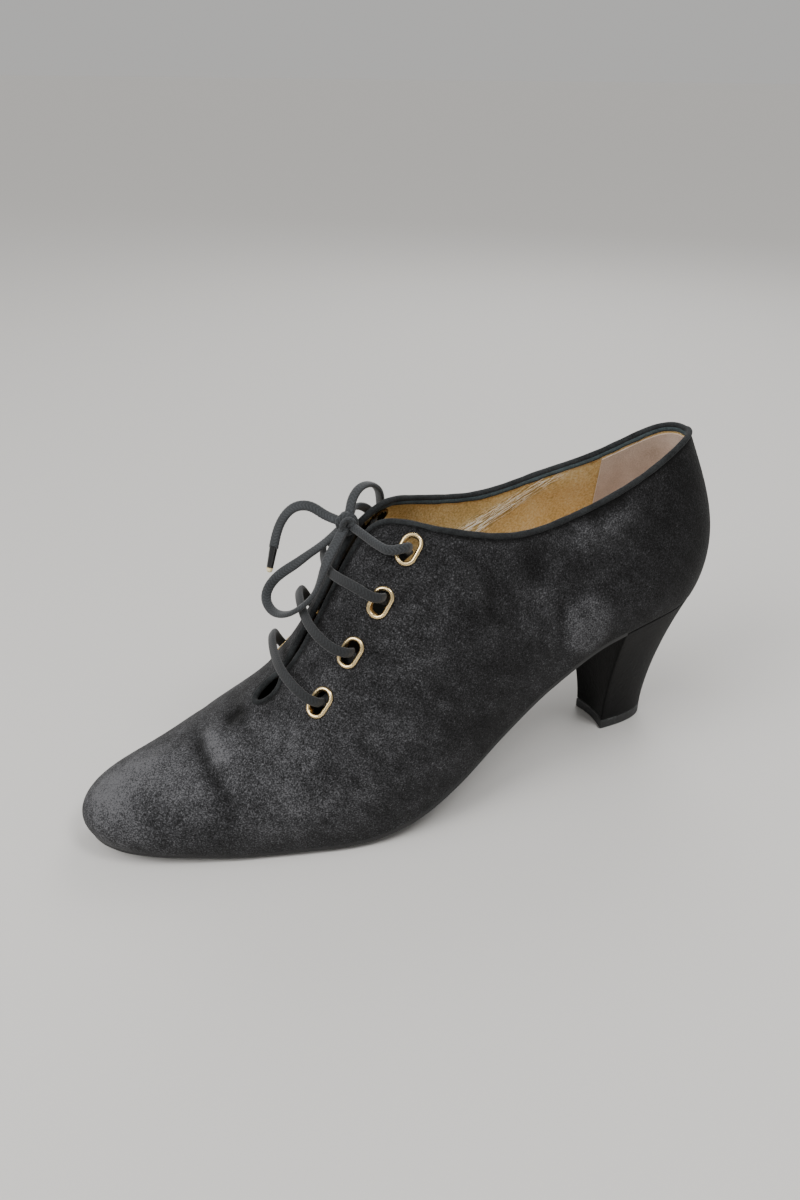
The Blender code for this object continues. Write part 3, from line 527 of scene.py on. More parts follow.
@dataclass
class Sheet:
    """Points and faces of a surface in the shoe's measure, with tones that its finish reads."""

    points: Points
    faces: list[list[int]]
    tones: dict[str, Points] = field(default_factory=dict)

    def normals(self) -> Points:
        """Return the outward normal at each point of a sheet whose faces have four corners or more.

        Returns:
            One normal for each point.
        """
        total = np.zeros_like(self.points)
        for size in {len(face) for face in self.faces}:
            faces = np.array([face for face in self.faces if len(face) == size])
            way = np.cross(self.points[faces[:, 2]] - self.points[faces[:, 0]],
                           self.points[faces[:, 3]] - self.points[faces[:, 1]])
            for corner in range(size):
                np.add.at(total, faces[:, corner], way)
        return unit(total)

    def moved(self, depth: float) -> "Sheet":
        """Return the sheet moved along its normals."""
        return Sheet(self.points + self.normals() * depth, self.faces, dict(self.tones))

    def thickened(self, depth: float) -> "Sheet":
        """Return a closed solid with this sheet as its outer face.

        Args:
            depth: Thickness of the solid.

        Returns:
            The solid.
        """
        count = len(self.points)
        inner = self.points - self.normals() * depth
        faces = list(self.faces) + [[i + count for i in reversed(face)] for face in self.faces]
        edges = {(a, b) for face in self.faces for a, b in zip(face, face[1:] + face[:1])}
        faces += [[b, a, a + count, b + count] for a, b in edges if (b, a) not in edges]
        tones = {name: np.concatenate([tone, tone]) for name, tone in self.tones.items()}
        return Sheet(np.concatenate([self.points, inner]), faces, tones)

    def turned(self) -> "Sheet":
        """Return the sheet facing the other way."""
        return Sheet(self.points, [face[::-1] for face in self.faces], dict(self.tones))

    def trimmed(self) -> "Sheet":
        """Return the sheet without points that no face uses.

        Returns:
            The smaller sheet.
        """
        used = np.unique(np.concatenate(self.faces))
        place = {int(old): new for new, old in enumerate(used)}
        faces = [[place[i] for i in face] for face in self.faces]
        return Sheet(self.points[used], faces, {name: tone[used] for name, tone in self.tones.items()})

    def joined(self, *others: "Sheet") -> "Sheet":
        """Return this sheet and others as one.

        Args:
            others: Sheets to add; their other tones are left out.

        Returns:
            The joined sheet.
        """
        points, faces = [self.points], list(self.faces)
        tones = {name: [tone] for name, tone in self.tones.items()}
        count = len(self.points)
        for other in others:
            points.append(other.points)
            faces += [[i + count for i in face] for face in other.faces]
            for name in tones:
                tones[name].append(other.tones.get(name, np.zeros(len(other.points))))
            count += len(other.points)
        return Sheet(np.concatenate(points), faces, {name: np.concatenate(tone) for name, tone in tones.items()})

    @staticmethod
    def grid(rows: Sequence[Points], closed: bool = False, capped: bool = False) -> "Sheet":
        """Return a sheet from rows of equally many points.

        Args:
            rows: The rows; each is a ring when the sheet is closed.
            closed: Whether the last point of a row joins its first.
            capped: Whether the first and last rings are filled.

        Returns:
            The sheet.
        """
        count = len(rows[0])
        faces = []
        for i in range(len(rows) - 1):
            for j in range(count if closed else count - 1):
                k = (j + 1) % count
                faces.append([i * count + j, i * count + k, (i + 1) * count + k, (i + 1) * count + j])
        if capped:
            faces.append(list(range(count))[::-1])
            faces.append(list(range((len(rows) - 1) * count, len(rows) * count)))
        return Sheet(np.concatenate([np.asarray(row, float) for row in rows]), faces)

    @staticmethod
    def torus(rings: Sequence[Points]) -> "Sheet":
        """Return a sheet from rings, the last of which joins the first.

        Args:
            rings: The rings, of equally many points.

        Returns:
            The sheet, closed both ways.
        """
        sheet = Sheet.grid([*rings, rings[0]], closed=True)
        count = len(rings) * len(rings[0])
        return Sheet(sheet.points[:count], [[i % count for i in face] for face in sheet.faces])


@dataclass(frozen=True)
class Finish:
    """What a piece's surface is made of, and the record's slot that it belongs to."""

    name: str
    slot: Optional[Slot]
    stops: Stops = ()

    def material(self) -> bpy.types.Material:
        """Return the finish's material, which is made once.

        Returns:
            The material.
        """
        made = bpy.data.materials.get(self.name)
        if made is None:
            made = bpy.data.materials.new(self.name)
            made.use_nodes = True
            self.shade(made.node_tree, made.node_tree.nodes["Principled BSDF"])
        return made

    def shade(self, tree: NodeTree, shader: Node) -> None:
        """Set the shader's sockets and link the patterns that drive them."""
        raise NotImplementedError

    @staticmethod
    def set_sockets(shader: Node, **values: Any) -> None:
        """Set constants on the shader's own sockets, named with underscores for spaces."""
        for name, value in values.items():
            shader.inputs[name.replace("_", " ")].default_value = value

    @staticmethod
    def noise(tree: NodeTree, size: float, detail: float = 2.0, stretch: Point = (1.0, 1.0, 1.0),
              turn: Point = (0.0, 0.0, 0.0)) -> Socket:
        """Return a cloudy pattern with lumps of a size in millimetres, stretched along turned axes.

        Args:
            tree: The material's nodes.
            size: Size of a lump.
            detail: How many finer layers it has.
            stretch: How many times longer the lumps are along each axis.
            turn: Turn of these axes in radians.

        Returns:
            The pattern.
        """
        place = add_node(tree, "ShaderNodeTexCoord").outputs["Object"]
        if stretch != (1.0, 1.0, 1.0):
            place = add_node(tree, "ShaderNodeMapping", {"vector_type": "TEXTURE"},
                             {"Vector": place, "Scale": stretch, "Rotation": turn}).outputs["Vector"]
        return add_node(tree, "ShaderNodeTexNoise", {}, {"Vector": place, "Scale": per_metre(size),
                                                         "Detail": detail}).outputs["Fac"]

    @staticmethod
    def blend(tree: NodeTree, parts: Sequence[tuple[Socket | str, float]],
              base: float = 0.0) -> Socket:
        """Return a base plus a weighted sum of patterns.

        Args:
            tree: The material's nodes.
            parts: Patterns with their weights; one given by name is a tone that the mesh carries.
            base: Value that the sum starts from.

        Returns:
            The sum.
        """
        total: Any = base
        for pattern, weight in parts:
            if isinstance(pattern, str):
                pattern = add_node(tree, "ShaderNodeAttribute", {"attribute_name": pattern}).outputs["Fac"]
            total = add_node(tree, "ShaderNodeMath", {"operation": "MULTIPLY_ADD"},
                             {0: pattern, 1: weight, 2: total}).outputs["Value"]
        return total

    def colour_and_bump(self, tree: NodeTree, shader: Node, tone: Socket,
                        relief: Optional[Socket] = None, strength: float = 0.0,
                        depth: float = 0.0) -> None:
        """Link a tone through the finish's stops to the colour, and a relief to the bump.

        Args:
            tree: The material's nodes.
            shader: Its main shader.
            tone: Pattern that picks the colour.
            relief: Pattern that lifts the surface, if any.
            strength: How much of the relief shows.
            depth: Height of the relief in millimetres.
        """
        ramp = add_node(tree, "ShaderNodeValToRGB", {"stops": self.stops}, {"Fac": tone})
        tree.links.new(ramp.outputs["Color"], shader.inputs["Base Color"])
        if relief is not None:
            bump = add_node(tree, "ShaderNodeBump", {}, {"Height": relief, "Strength": strength,
                                                         "Distance": depth * MM})
            tree.links.new(bump.outputs["Normal"], shader.inputs["Normal"])


@dataclass(frozen=True)
class Suede(Finish):
    """Suede, a buffed split of leather: a dull short nap, lighter where it is brushed up and paler at the rims; the
    nap's tone from the mesh also holds painted highlights and painted shade.
    """

    stops: Stops = ((0.05, "#060606"), (0.50, "#232324"), (0.80, "#404042"), (1.0, "#58585a"))
    cloud_mm: float = 17.0
    mottle_mm: float = 4.5
    tuft_mm: float = 1.0
    fibre_mm: float = 0.38      # drawn coarser than the real fibres of about 0.1 mm
    fibre_turns: tuple[Point, ...] = ((0.2, 0.9, 0.5), (0.9, -0.3, -0.6))
    brush_turn: Point = (0.0, 0.7, 0.0)     # lay of the nap, which mottles and tufts follow
    lint_mm: float = 2.6
    lint_reach: float = 0.08     # radius of a speck, as a share of the distance between two
    sheen: float = 0.12
    sheen_tint: str = "#c9c8c7"

    def shade(self, tree: NodeTree, shader: Node) -> None:
        """Link brushed clouds, mottles, grain, lint and the mesh's tone of nap and painted light to colour and bump.

        Args:
            tree: The material's nodes.
            shader: Its main shader.
        """
        fibres = [self.noise(tree, self.fibre_mm, detail=5.0, stretch=(1.7, 1.0, 1.0), turn=turn)
                  for turn in self.fibre_turns]
        grain = self.blend(tree, [(fibre, 0.5) for fibre in fibres])
        mottle = self.noise(tree, self.mottle_mm, detail=4.0, stretch=(1.0, 1.0, 1.8), turn=self.brush_turn)
        tuft = self.noise(tree, self.tuft_mm, stretch=(1.0, 1.0, 1.6), turn=self.brush_turn)
        place = add_node(tree, "ShaderNodeTexCoord").outputs["Object"]
        lint = add_node(tree, "ShaderNodeTexVoronoi", {}, {"Vector": place, "Scale": per_metre(self.lint_mm)})
        speck = add_node(tree, "ShaderNodeMath", {"operation": "LESS_THAN"},
                         {0: lint.outputs["Distance"], 1: self.lint_reach}).outputs["Value"]
        cloud = self.noise(tree, self.cloud_mm, detail=4.0)
        # the mesh's nap tone carries painted highlights and painted shade besides the nap's own brushing
        tone = self.blend(tree, [(cloud, 0.5), (mottle, 0.48), (tuft, 0.38), (grain, 2.7), ("nap", 1.4),
                                 (speck, 0.4)], base=-1.63)
        relief = self.blend(tree, [(grain, 0.7), (tuft, 0.5), (mottle, 0.5)])
        self.colour_and_bump(tree, shader, tone, relief, strength=0.8, depth=0.45)
        self.set_sockets(shader, Roughness=0.95, IOR=1.45, Specular_IOR_Level=0.15, Sheen_Weight=self.sheen,
                         Sheen_Roughness=0.45, Sheen_Tint=linear(self.sheen_tint))


@dataclass(frozen=True)
class FoldedTape(Finish):
    """Woven binding tape, folded over an edge and stitched: matt, bluish inside, with fine cross ribs."""

    stops: Stops = ((0.1, "#131415"), (0.35, "#2a2c2d"), (0.65, "#2e3638"), (1.0, "#4a5558"))
    weave_mm: float = 0.6
    cloud_mm: float = 7.0

    def shade(self, tree: NodeTree, shader: Node) -> None:
        """Link the fold's tone and the weave to colour and bump.

        Args:
            tree: The material's nodes.
            shader: Its main shader.
        """
        weave, cloud = self.noise(tree, self.weave_mm, detail=3.0), self.noise(tree, self.cloud_mm)
        tone = self.blend(tree, [("inside", 0.5), (weave, 0.5), (cloud, 0.5)], base=-0.25)
        self.colour_and_bump(tree, shader, tone, weave, strength=0.8, depth=0.35)
        self.set_sockets(shader, Roughness=0.9, IOR=1.5, Specular_IOR_Level=0.15, Sheen_Weight=0.05)


@dataclass(frozen=True)
class FoilLeather(Finish):
    """Lining leather with a pressed metallic foil: a soft gold gleam, fine grain, and wrinkles with painted
    highlights along them and painted shade between.
    """

    stops: Stops = ((0.2, "#b59c64"), (0.48, "#e4c98a"), (0.65, "#f1deac"), (1.0, "#fffdf4"))
    grain_mm: float = 0.8
    cloud_mm: float = 14.0
    wrinkle_mm: float = 0.8
    wrinkle_stretch: Point = (11.0, 1.0, 1.0)
    wrinkle_turn: Point = (0.0, 0.5, -0.11)
    line_width: float = 0.09    # how far from a wrinkle's middle value its line fades out

    def shade(self, tree: NodeTree, shader: Node) -> None:
        """Link grain and wrinkles to colour and bump, the wrinkles as painted highlights and shade, strongest where
        the lining is crinkled.

        Args:
            tree: The material's nodes.
            shader: Its main shader.
        """
        grain, cloud = self.noise(tree, self.grain_mm, detail=3.0), self.noise(tree, self.cloud_mm)
        wrinkle = self.noise(tree, self.wrinkle_mm, stretch=self.wrinkle_stretch, turn=self.wrinkle_turn)
        middle = add_node(tree, "ShaderNodeMath", {"operation": "SUBTRACT"}, {0: wrinkle, 1: 0.5}).outputs["Value"]
        away = add_node(tree, "ShaderNodeMath", {"operation": "ABSOLUTE"}, {0: middle}).outputs["Value"]
        line = add_node(tree, "ShaderNodeMapRange", {}, {"Value": away, "From Max": self.line_width,
                                                         "To Min": 1.0, "To Max": 0.0}).outputs["Result"]
        # painted highlight along each wrinkle's line and painted shade between the lines, where the lining is
        # crinkled
        wrinkle_highlight_and_shade = add_node(tree, "ShaderNodeMath", {"operation": "MULTIPLY"},
                           {0: self.blend(tree, [(line, 1.0)], base=-0.35),
                            1: self.blend(tree, [("crinkle", 1.0)])}).outputs["Value"]
        tone = self.blend(tree, [(grain, 0.9), (cloud, 0.45), (wrinkle_highlight_and_shade, 1.5)], base=-0.17)
        relief = self.blend(tree, [(grain, 1.0), (wrinkle_highlight_and_shade, 0.9)])
        self.colour_and_bump(tree, shader, tone, relief, strength=0.8, depth=0.5)
        self.set_sockets(shader, Metallic=0.35, Roughness=0.38, IOR=1.5)


@dataclass(frozen=True)
class NappedGrip(Finish):
    """Reversed leather of a heel grip, lightly napped: dull pinkish taupe."""

    stops: Stops = ((0.25, "#a3907f"), (0.5, "#c4b0a1"), (0.75, "#ddcdc0"))
    grain_mm: float = 0.5
    cloud_mm: float = 12.0

    def shade(self, tree: NodeTree, shader: Node) -> None:
        """Link clouds and grain to colour and bump.

        Args:
            tree: The material's nodes.
            shader: Its main shader.
        """
        grain, cloud = (self.noise(tree, size, detail=3.0) for size in (self.grain_mm, self.cloud_mm))
        tone = self.blend(tree, [(grain, 0.45), (cloud, 0.55)])
        self.colour_and_bump(tree, shader, tone, grain, strength=0.4, depth=0.25)
        self.set_sockets(shader, Roughness=0.9, IOR=1.45, Specular_IOR_Level=0.2, Sheen_Weight=0.2)


@dataclass(frozen=True)
class PlainLeather(Finish):
    """Smooth dyed leather: a satin face with fine pores and soft cloudy wear."""

    stops: Stops = ((0.12, "#2a2014"), (0.36, "#9a7440"), (0.5, "#b98d52"), (0.7, "#cda469"))
    grain_mm: float = 0.9
    cloud_mm: float = 18.0
    roughness: float = 0.5
    coat: float = 0.0

    def shade(self, tree: NodeTree, shader: Node) -> None:
        """Link clouds, pores and the wear tone, which on the sock also holds painted shade, to colour and bump.

        Args:
            tree: The material's nodes.
            shader: Its main shader.
        """
        grain, cloud = self.noise(tree, self.grain_mm), self.noise(tree, self.cloud_mm, detail=3.0)
        tone = self.blend(tree, [(grain, 0.3), (cloud, 0.7), ("wear", 1.0)])
        self.colour_and_bump(tree, shader, tone, grain, strength=0.3, depth=0.15)
        self.set_sockets(shader, Roughness=self.roughness, IOR=1.5, Coat_Weight=self.coat, Coat_Roughness=0.3)


@dataclass(frozen=True)
class MouldedRubber(Finish):
    """Hard moulded rubber: nearly black and dull, greyed by scuffs."""

    stops: Stops = ((0.35, "#121213"), (0.6, "#202122"), (0.85, "#4a4a4a"))
    scuff_mm: float = 1.2
    cloud_mm: float = 7.0

    def shade(self, tree: NodeTree, shader: Node) -> None:
        """Link scuffs to colour and bump.

        Args:
            tree: The material's nodes.
            shader: Its main shader.
        """
        scuff, cloud = self.noise(tree, self.scuff_mm, detail=3.0), self.noise(tree, self.cloud_mm)
        tone = self.blend(tree, [(scuff, 0.6), (cloud, 0.4), ("wear", 1.0)])
        self.colour_and_bump(tree, shader, tone, scuff, strength=0.25, depth=0.2)
        self.set_sockets(shader, Roughness=0.62, IOR=1.52)


@dataclass(frozen=True)
class PlatedBrass(Finish):
    """Brass stamping with a pale gold plating: mirror-like with faint rubbing on its rim, and dull in its barrel."""

    stops: Stops = ((0.0, "#e2c997"), (1.0, "#4a3b22"))
    rub_mm: float = 1.6
    roughness: tuple[float, float] = (0.16, 0.34)

    def shade(self, tree: NodeTree, shader: Node) -> None:
        """Link rubbing to roughness, and the dull barrel to colour.

        Args:
            tree: The material's nodes.
            shader: Its main shader.
        """
        smooth, rough = self.roughness
        rub = self.noise(tree, self.rub_mm, detail=3.0)
        rubbed = add_node(tree, "ShaderNodeMapRange", {}, {"Value": rub, "From Min": 0.3, "From Max": 0.7,
                                                           "To Min": smooth, "To Max": rough})
        tree.links.new(rubbed.outputs["Result"], shader.inputs["Roughness"])
        self.colour_and_bump(tree, shader, self.blend(tree, [("dull", 1.0)]))
        self.set_sockets(shader, Metallic=1.0)


@dataclass(frozen=True)
class BraidedCotton(Finish):
    """Braided cotton lace, lightly waxed: charcoal yarns with darker gaps between the picks."""

    stops: Stops = ((0.1, "#0e0f10"), (0.5, "#232527"), (0.9, "#3f4245"))
    fibre_mm: float = 0.3       # drawn coarser than the real fibres of about 0.02 mm
    cloud_mm: float = 6.0

    def shade(self, tree: NodeTree, shader: Node) -> None:
        """Link the braid's relief, which on the bars also holds painted shade, and stray fibres to colour and bump.

        Args:
            tree: The material's nodes.
            shader: Its main shader.
        """
        fibre, cloud = self.noise(tree, self.fibre_mm), self.noise(tree, self.cloud_mm)
        tone = self.blend(tree, [("braid", 0.45), (fibre, 0.35), (cloud, 0.3)])
        self.colour_and_bump(tree, shader, tone, fibre, strength=0.4, depth=0.12)
        self.set_sockets(shader, Roughness=0.78, IOR=1.5, Specular_IOR_Level=0.35, Sheen_Weight=0.2)


@dataclass(frozen=True)
class DippedTip(Finish):
    """Lace tip in a glossy dipped plastic sheath, rubbed through to pale metal at its very end."""

    stops: Stops = ((0.0, "#101012"), (0.55, "#17171a"), (0.7, "#cdb98a"), (1.0, "#e2d3aa"))
    rub_mm: float = 1.0

    def shade(self, tree: NodeTree, shader: Node) -> None:
        """Link the rubbed end to colour.

        Args:
            tree: The material's nodes.
            shader: Its main shader.
        """
        tone = self.blend(tree, [("rubbed", 1.0), (self.noise(tree, self.rub_mm), 0.15)])
        self.colour_and_bump(tree, shader, tone)
        self.set_sockets(shader, Roughness=0.22, IOR=1.46, Coat_Weight=0.4, Coat_Roughness=0.1)


@dataclass(frozen=True)
class MattPaint(Finish):
    """Matt painted board of a studio floor: even and pale, with next to no gleam."""

    colour: str = "#c9c7c4"

    def shade(self, tree: NodeTree, shader: Node) -> None:
        """Set one even colour."""
        self.set_sockets(shader, Base_Color=linear(self.colour), Roughness=0.85, IOR=1.5, Specular_IOR_Level=0.2)


BLACK_SUEDE = Suede("black_suede_brushed", Slot.SUEDE)
BINDING_TAPE = FoldedTape("charcoal_binding_tape_folded", Slot.BINDING)
GOLD_LINING = FoilLeather("gold_foil_lining_leather", None)
# A close lining twill shows the same fine dull grain as dyed leather, so it shares its patterns.
DARK_LINING = PlainLeather("green_black_lining_twill_woven", None, (
    (0.3, "#070c0b"), (0.55, "#0d1614"), (0.8, "#14211e")), grain_mm=0.5, cloud_mm=9.0, roughness=0.85)
HEEL_GRIP = NappedGrip("taupe_heel_grip_napped", None)
SOCK_LEATHER = PlainLeather("tan_sock_leather_glazed", Slot.INSOLE)
SOLE_LEATHER = PlainLeather("black_sole_leather_inked", Slot.SOLE, (
    (0.3, "#0a0a0b"), (0.55, "#111112"), (0.78, "#242220"), (1.0, "#8a6a45")),
    grain_mm=0.7, cloud_mm=16.0, roughness=0.6, coat=0.05)
TOP_RUBBER = MouldedRubber("black_top_piece_rubber_moulded", Slot.TOP_PIECE)
PALE_GOLD = PlatedBrass("brass_pale_gold_plated", Slot.METAL)
LACE_COTTON = BraidedCotton("charcoal_cotton_lace_braided", Slot.LACE)
AGLET_SHEATH = DippedTip("black_aglet_plastic_dipped", Slot.AGLET)
FLOOR_PAINT = MattPaint("pale_floor_paint_matt", None)


def make_piece(name: str, sheet: Sheet, finish: Finish, stands_for: Sequence[str] = (), sharp: float = 50.0,
               bevel: float = 0.0) -> Piece:
    """Make one piece of the shoe from a sheet.

    Args:
        name: Piece's name.
        sheet: Its points, faces and tones.
        finish: Its material.
        stands_for: Solids of the part that it is shown instead of.
        sharp: Angle in degrees above which an edge stays crisp.
        bevel: Width that crisp edges are rounded by.

    Returns:
        The piece, which rides on the shoe's body.
    """
    mesh = bpy.data.meshes.new(name)
    mesh.from_pydata(LAST.to_frame(sheet.points).tolist(), [], sheet.faces)
    for tone, values in sheet.tones.items():
        mesh.attributes.new(tone, "FLOAT", "POINT").data.foreach_set("value", values.astype(np.float32))
    mesh.validate()
    piece = bpy.data.objects.new(name, mesh)
    bpy.context.scene.collection.objects.link(piece)
    if bevel:
        rounding = piece.modifiers.new("rounding", "BEVEL")
        rounding.width, rounding.segments, rounding.limit_method = bevel * MM, BEVEL_STEPS, "ANGLE"
        rounding.angle_limit = math.radians(BEVEL_ANGLE)
        rounded = bpy.data.meshes.new_from_object(piece.evaluated_get(bpy.context.evaluated_depsgraph_get()))
        piece.modifiers.clear()
        piece.data = rounded
        bpy.data.meshes.remove(mesh)
        mesh = rounded
        mesh.name = name
    mesh.shade_smooth()
    mesh.set_sharp_from_angle(angle=math.radians(sharp))
    mesh.materials.clear()
    mesh.materials.append(finish.material())
    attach(piece, "root")
    if stands_for:
        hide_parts(*stands_for)
    LOG.info("%s: %d faces", name, len(mesh.polygons))
    return piece


@dataclass(frozen=True)
class Crease:
    """A soft trough or ridge that wear has left along a line of the upper; its tone paints shade where it darkens and
    a highlight where it lightens.
    """

    path: tuple[Point, ...]
    width: float
    rise: float
    # tone: painted shade where below zero, painted highlight where above
    tone: float = 0.0
    spacing: float = 0.8
    fade: float = 0.3           # share of its run over which an end fades

    def weight(self, points: Points) -> Points:
        """Return how strongly each point lies on the crease, fading out at its ends.

        Args:
            points: Points to weigh.

        Returns:
            One weight for each point.
        """
        line = smooth_route(self.path, self.spacing)
        gap = np.linalg.norm(points[:, None] - line[None], axis=2)
        near = gap.argmin(axis=1)
        share = near / (len(line) - 1)
        fade = ease(np.minimum(share, 1 - share) / self.fade)
        return np.exp(-(gap[np.arange(len(points)), near] / self.width) ** 2) * fade


@dataclass(frozen=True)
class WornPatch:
    """A patch that lies lighter or darker, higher or lower than what is round it; on some its tone is real wear, on
    others painted highlight and shade.
    """

    centre: Point
    radii: Point
    tone: float
    rise: float = 0.0
    power: float = 2.0

    def weight(self, points: Points) -> Points:
        """Return how strongly each point lies in the patch."""
        away = np.linalg.norm((points - np.array(self.centre)) / np.array(self.radii), axis=1)
        return np.exp(-away ** self.power)


class ToneDrift(NamedTuple):
    """A slow change of tone along the shoe, from one station over a span, used to paint light and shade."""

    tone: float
    start: float
    span: float

    def at(self, x: Points) -> Points:
        """Return the tone that it adds at stations."""
        return self.tone * ease((x - self.start) / self.span)


@dataclass
class Upper:
    """The suede upper with its lining and heel grip."""

    suede_depth: float = 0.9
    lining_gap: float = 0.05
    lining_depth: float = 0.8
    edge_grow: float = 1.25
    lining_grow: float = 2.0
    grip_grow: float = 4.0
    grip_depth: float = 0.45
    grip_start_row: float = 9.0
    grip_foot_share: float = 0.06
    grip_rows: int = 160
    grip_steps: int = 30
    grip_count: int = 36
    suede_fineness: float = 5.0
    suede_steps: int = 56
    lining_fineness: float = 3.2
    lining_steps: int = 40
    toe_steps: int = 15
    rib_crowding: float = 1.25      # draws points closer towards a rib's top
    no_edge: float = 99.0           # distance that stands for no edge near by
    hole: tuple[float, float] = (9.8, 5.8)
    flange: tuple[float, float] = (11.6, 7.6)
    face_reach: float = 8.0     # points further off an eyelet's face do not belong to it
    pressed: float = 4.0
    press_depth: float = 0.1
    tuck: float = 0.35
    foot_tolerance: float = 0.05
    # painted shade, darker towards the suede's foot over the height below
    foot_shade: float = 0.07
    foot_height: float = 9.0
    seam_line: float = 1.3      # below the suede's edge, in the ditch beside the binding
    # painted shade in a line along the ditch beside the binding
    seam_shade: float = 0.25
    seam_width: float = 0.8
    vamp_seam: Point = (127.0, 0.0, 90.0)   # a point of the seam between the two linings
    vamp_slant: float = 0.4                 # how far that seam slants
    seam: Point = (34.1, 110.2, 0.138)      # station and height of the grip's seam, and how far it leans
    # painted light: the suede lighter towards the toe, and painted shade darker towards the heel
    drifts: tuple[ToneDrift, ...] = (
        ToneDrift(0.1, 100.0, 70.0), ToneDrift(0.03, 185.0, 50.0), ToneDrift(-0.12, 60.0, -40.0))
    # The creases' tones are painted shade where they darken and painted highlights where they lighten.
    creases: tuple[Crease, ...] = (
        Crease(((197.0, -12.0, 31.5), (197.1, 0.2, 33.2), (197.1, 8.0, 31.7), (195.7, 16.4, 28.5),
                (193.6, 23.3, 23.2), (191.5, 26.5, 15.0)), 2.6, -1.5, -0.26),
        Crease(((192.5, -6.0, 35.4), (191.8, 7.0, 34.4), (189.5, 16.0, 31.0)), 3.6, 1.1, 0.20),
        Crease(((187.5, -0.7, 37.9), (183.5, -2.0, 40.2), (179.5, -3.0, 42.6)), 3.0, -0.9, -0.26),
        Crease(((186.0, -2.0, 38.6), (180.0, -11.6, 40.5), (178.5, -19.0, 37.0)), 3.2, -0.5, -0.06),
        Crease(((183.0, 6.0, 38.0), (180.0, 17.0, 34.0), (177.5, 26.5, 25.0)), 4.5, -0.35, -0.03),
        Crease(((77.0, 25.0, 82.0), (73.8, 28.0, 72.0), (73.4, 29.2, 62.0), (70.5, 29.8, 50.0)), 2.2, -0.6, -0.12),
        Crease(((74.0, 19.5, 95.5), (62.0, 20.2, 94.8), (50.0, 18.4, 98.8), (34.0, 15.2, 105.1)), 5.0, 0.6, 0.18),
        Crease(((66.0, 16.6, 103.4), (60.5, 17.4, 102.0), (49.4, 16.3, 104.2), (40.0, 14.2, 107.5)),
               2.4, -0.4, -0.12),
        Crease(((101.0, 22.5, 91.0), (100.7, 24.8, 87.0), (101.8, 28.0, 79.0), (103.3, 30.0, 73.0)),
               2.0, -0.3, -0.09),
        Crease(((108.5, 26.0, 86.0), (108.8, 28.9, 80.0), (108.0, 31.0, 72.0)), 2.0, -0.22, -0.06),
        Crease(((84.0, 20.6, 95.0), (83.0, 22.6, 89.0), (84.5, 25.6, 81.0)), 2.6, -0.3, -0.10),
        Crease(((60.0, -20.5, 98.0), (48.0, -20.2, 98.0), (36.0, -17.6, 103.0)), 4.5, -0.35, -0.05),
        Crease(((82.0, -22.5, 90.0), (80.0, -24.5, 78.0), (76.0, -25.0, 64.0)), 2.8, -0.45, -0.06),
        Crease(((190.0, -22.0, 30.0), (186.5, -28.0, 24.0), (184.0, -33.0, 16.0)), 3.0, -0.6, -0.06),
        Crease(((152.7, 28.5, 44.8), (150.5, 29.5, 44.7), (148.4, 30.4, 44.5)), 0.45, -0.08, 0.20))
    # Painted light among these patches: highlights on the toe's top and the forefoot's side, and painted shade at the
    # waist, in the dent by the keyhole and under the collar; the weak ones are the nap's own brushing.
    patches: tuple[WornPatch, ...] = (
        WornPatch((63.4, 29.0, 66.0), (11.0, 30.0, 11.5), 0.24, 0.6, 9.0),
        WornPatch((80.2, 25.8, 79.8), (8.0, 14.0, 9.0), 0.07),
        WornPatch((216.0, -1.9, 27.5), (18.0, 16.0, 9.0), 0.22),
        WornPatch((229.0, 2.3, 18.0), (9.0, 14.0, 11.0), 0.2),
        WornPatch((178.0, 22.0, 28.0), (34.0, 18.0, 20.0), 0.10),
        WornPatch((104.0, 33.0, 36.0), (20.0, 14.0, 12.0), -0.09),
        WornPatch((181.8, -2.6, 41.0), (4.5, 5.0, 5.0), -0.2),
        WornPatch((165.7, 23.2, 41.0), (9.0, 8.0, 8.0), 0.05),
        WornPatch((141.4, 33.7, 41.3), (9.0, 12.0, 8.0), 0.06),
        WornPatch((158.0, 31.1, 34.7), (7.0, 10.0, 5.0), -0.05),
        WornPatch((97.1, 33.0, 44.4), (14.0, 10.0, 6.0), 0.05),
        WornPatch((116.3, 36.2, 30.0), (18.0, 10.0, 5.0), 0.05),
        WornPatch((100.8, 26.7, 84.0), (4.5, 9.0, 10.0), -0.13),
        WornPatch((83.4, 21.6, 92.0), (6.0, 9.0, 7.0), -0.15),
        WornPatch((50.0, 16.0, 104.0), (8.0, 9.0, 4.0), -0.08),
        WornPatch((18.0, 17.0, 96.0), (12.0, 14.0, 18.0), -0.08))
    smooth_spot: Point = (55.0, -22.0, 84.0)    # middle of a spot where the lining is less crinkled
    smooth_radius: float = 18.0
    smooth_share: float = 0.5
    crinkle_rise: float = 0.4
    crinkles: tuple[Crease, ...] = (
        Crease(((108.0, -20.5, 74.0), (96.0, -21.5, 79.5), (84.1, -21.8, 85.4), (72.8, -20.8, 91.4),
                (63.0, -19.8, 96.7), (51.7, -18.0, 103.0), (40.0, -15.0, 109.5)), 4.2, 1.0),
        Crease(((104.0, 21.0, 84.0), (90.0, 20.0, 88.0), (74.0, 19.0, 93.0)), 3.0, 1.0))

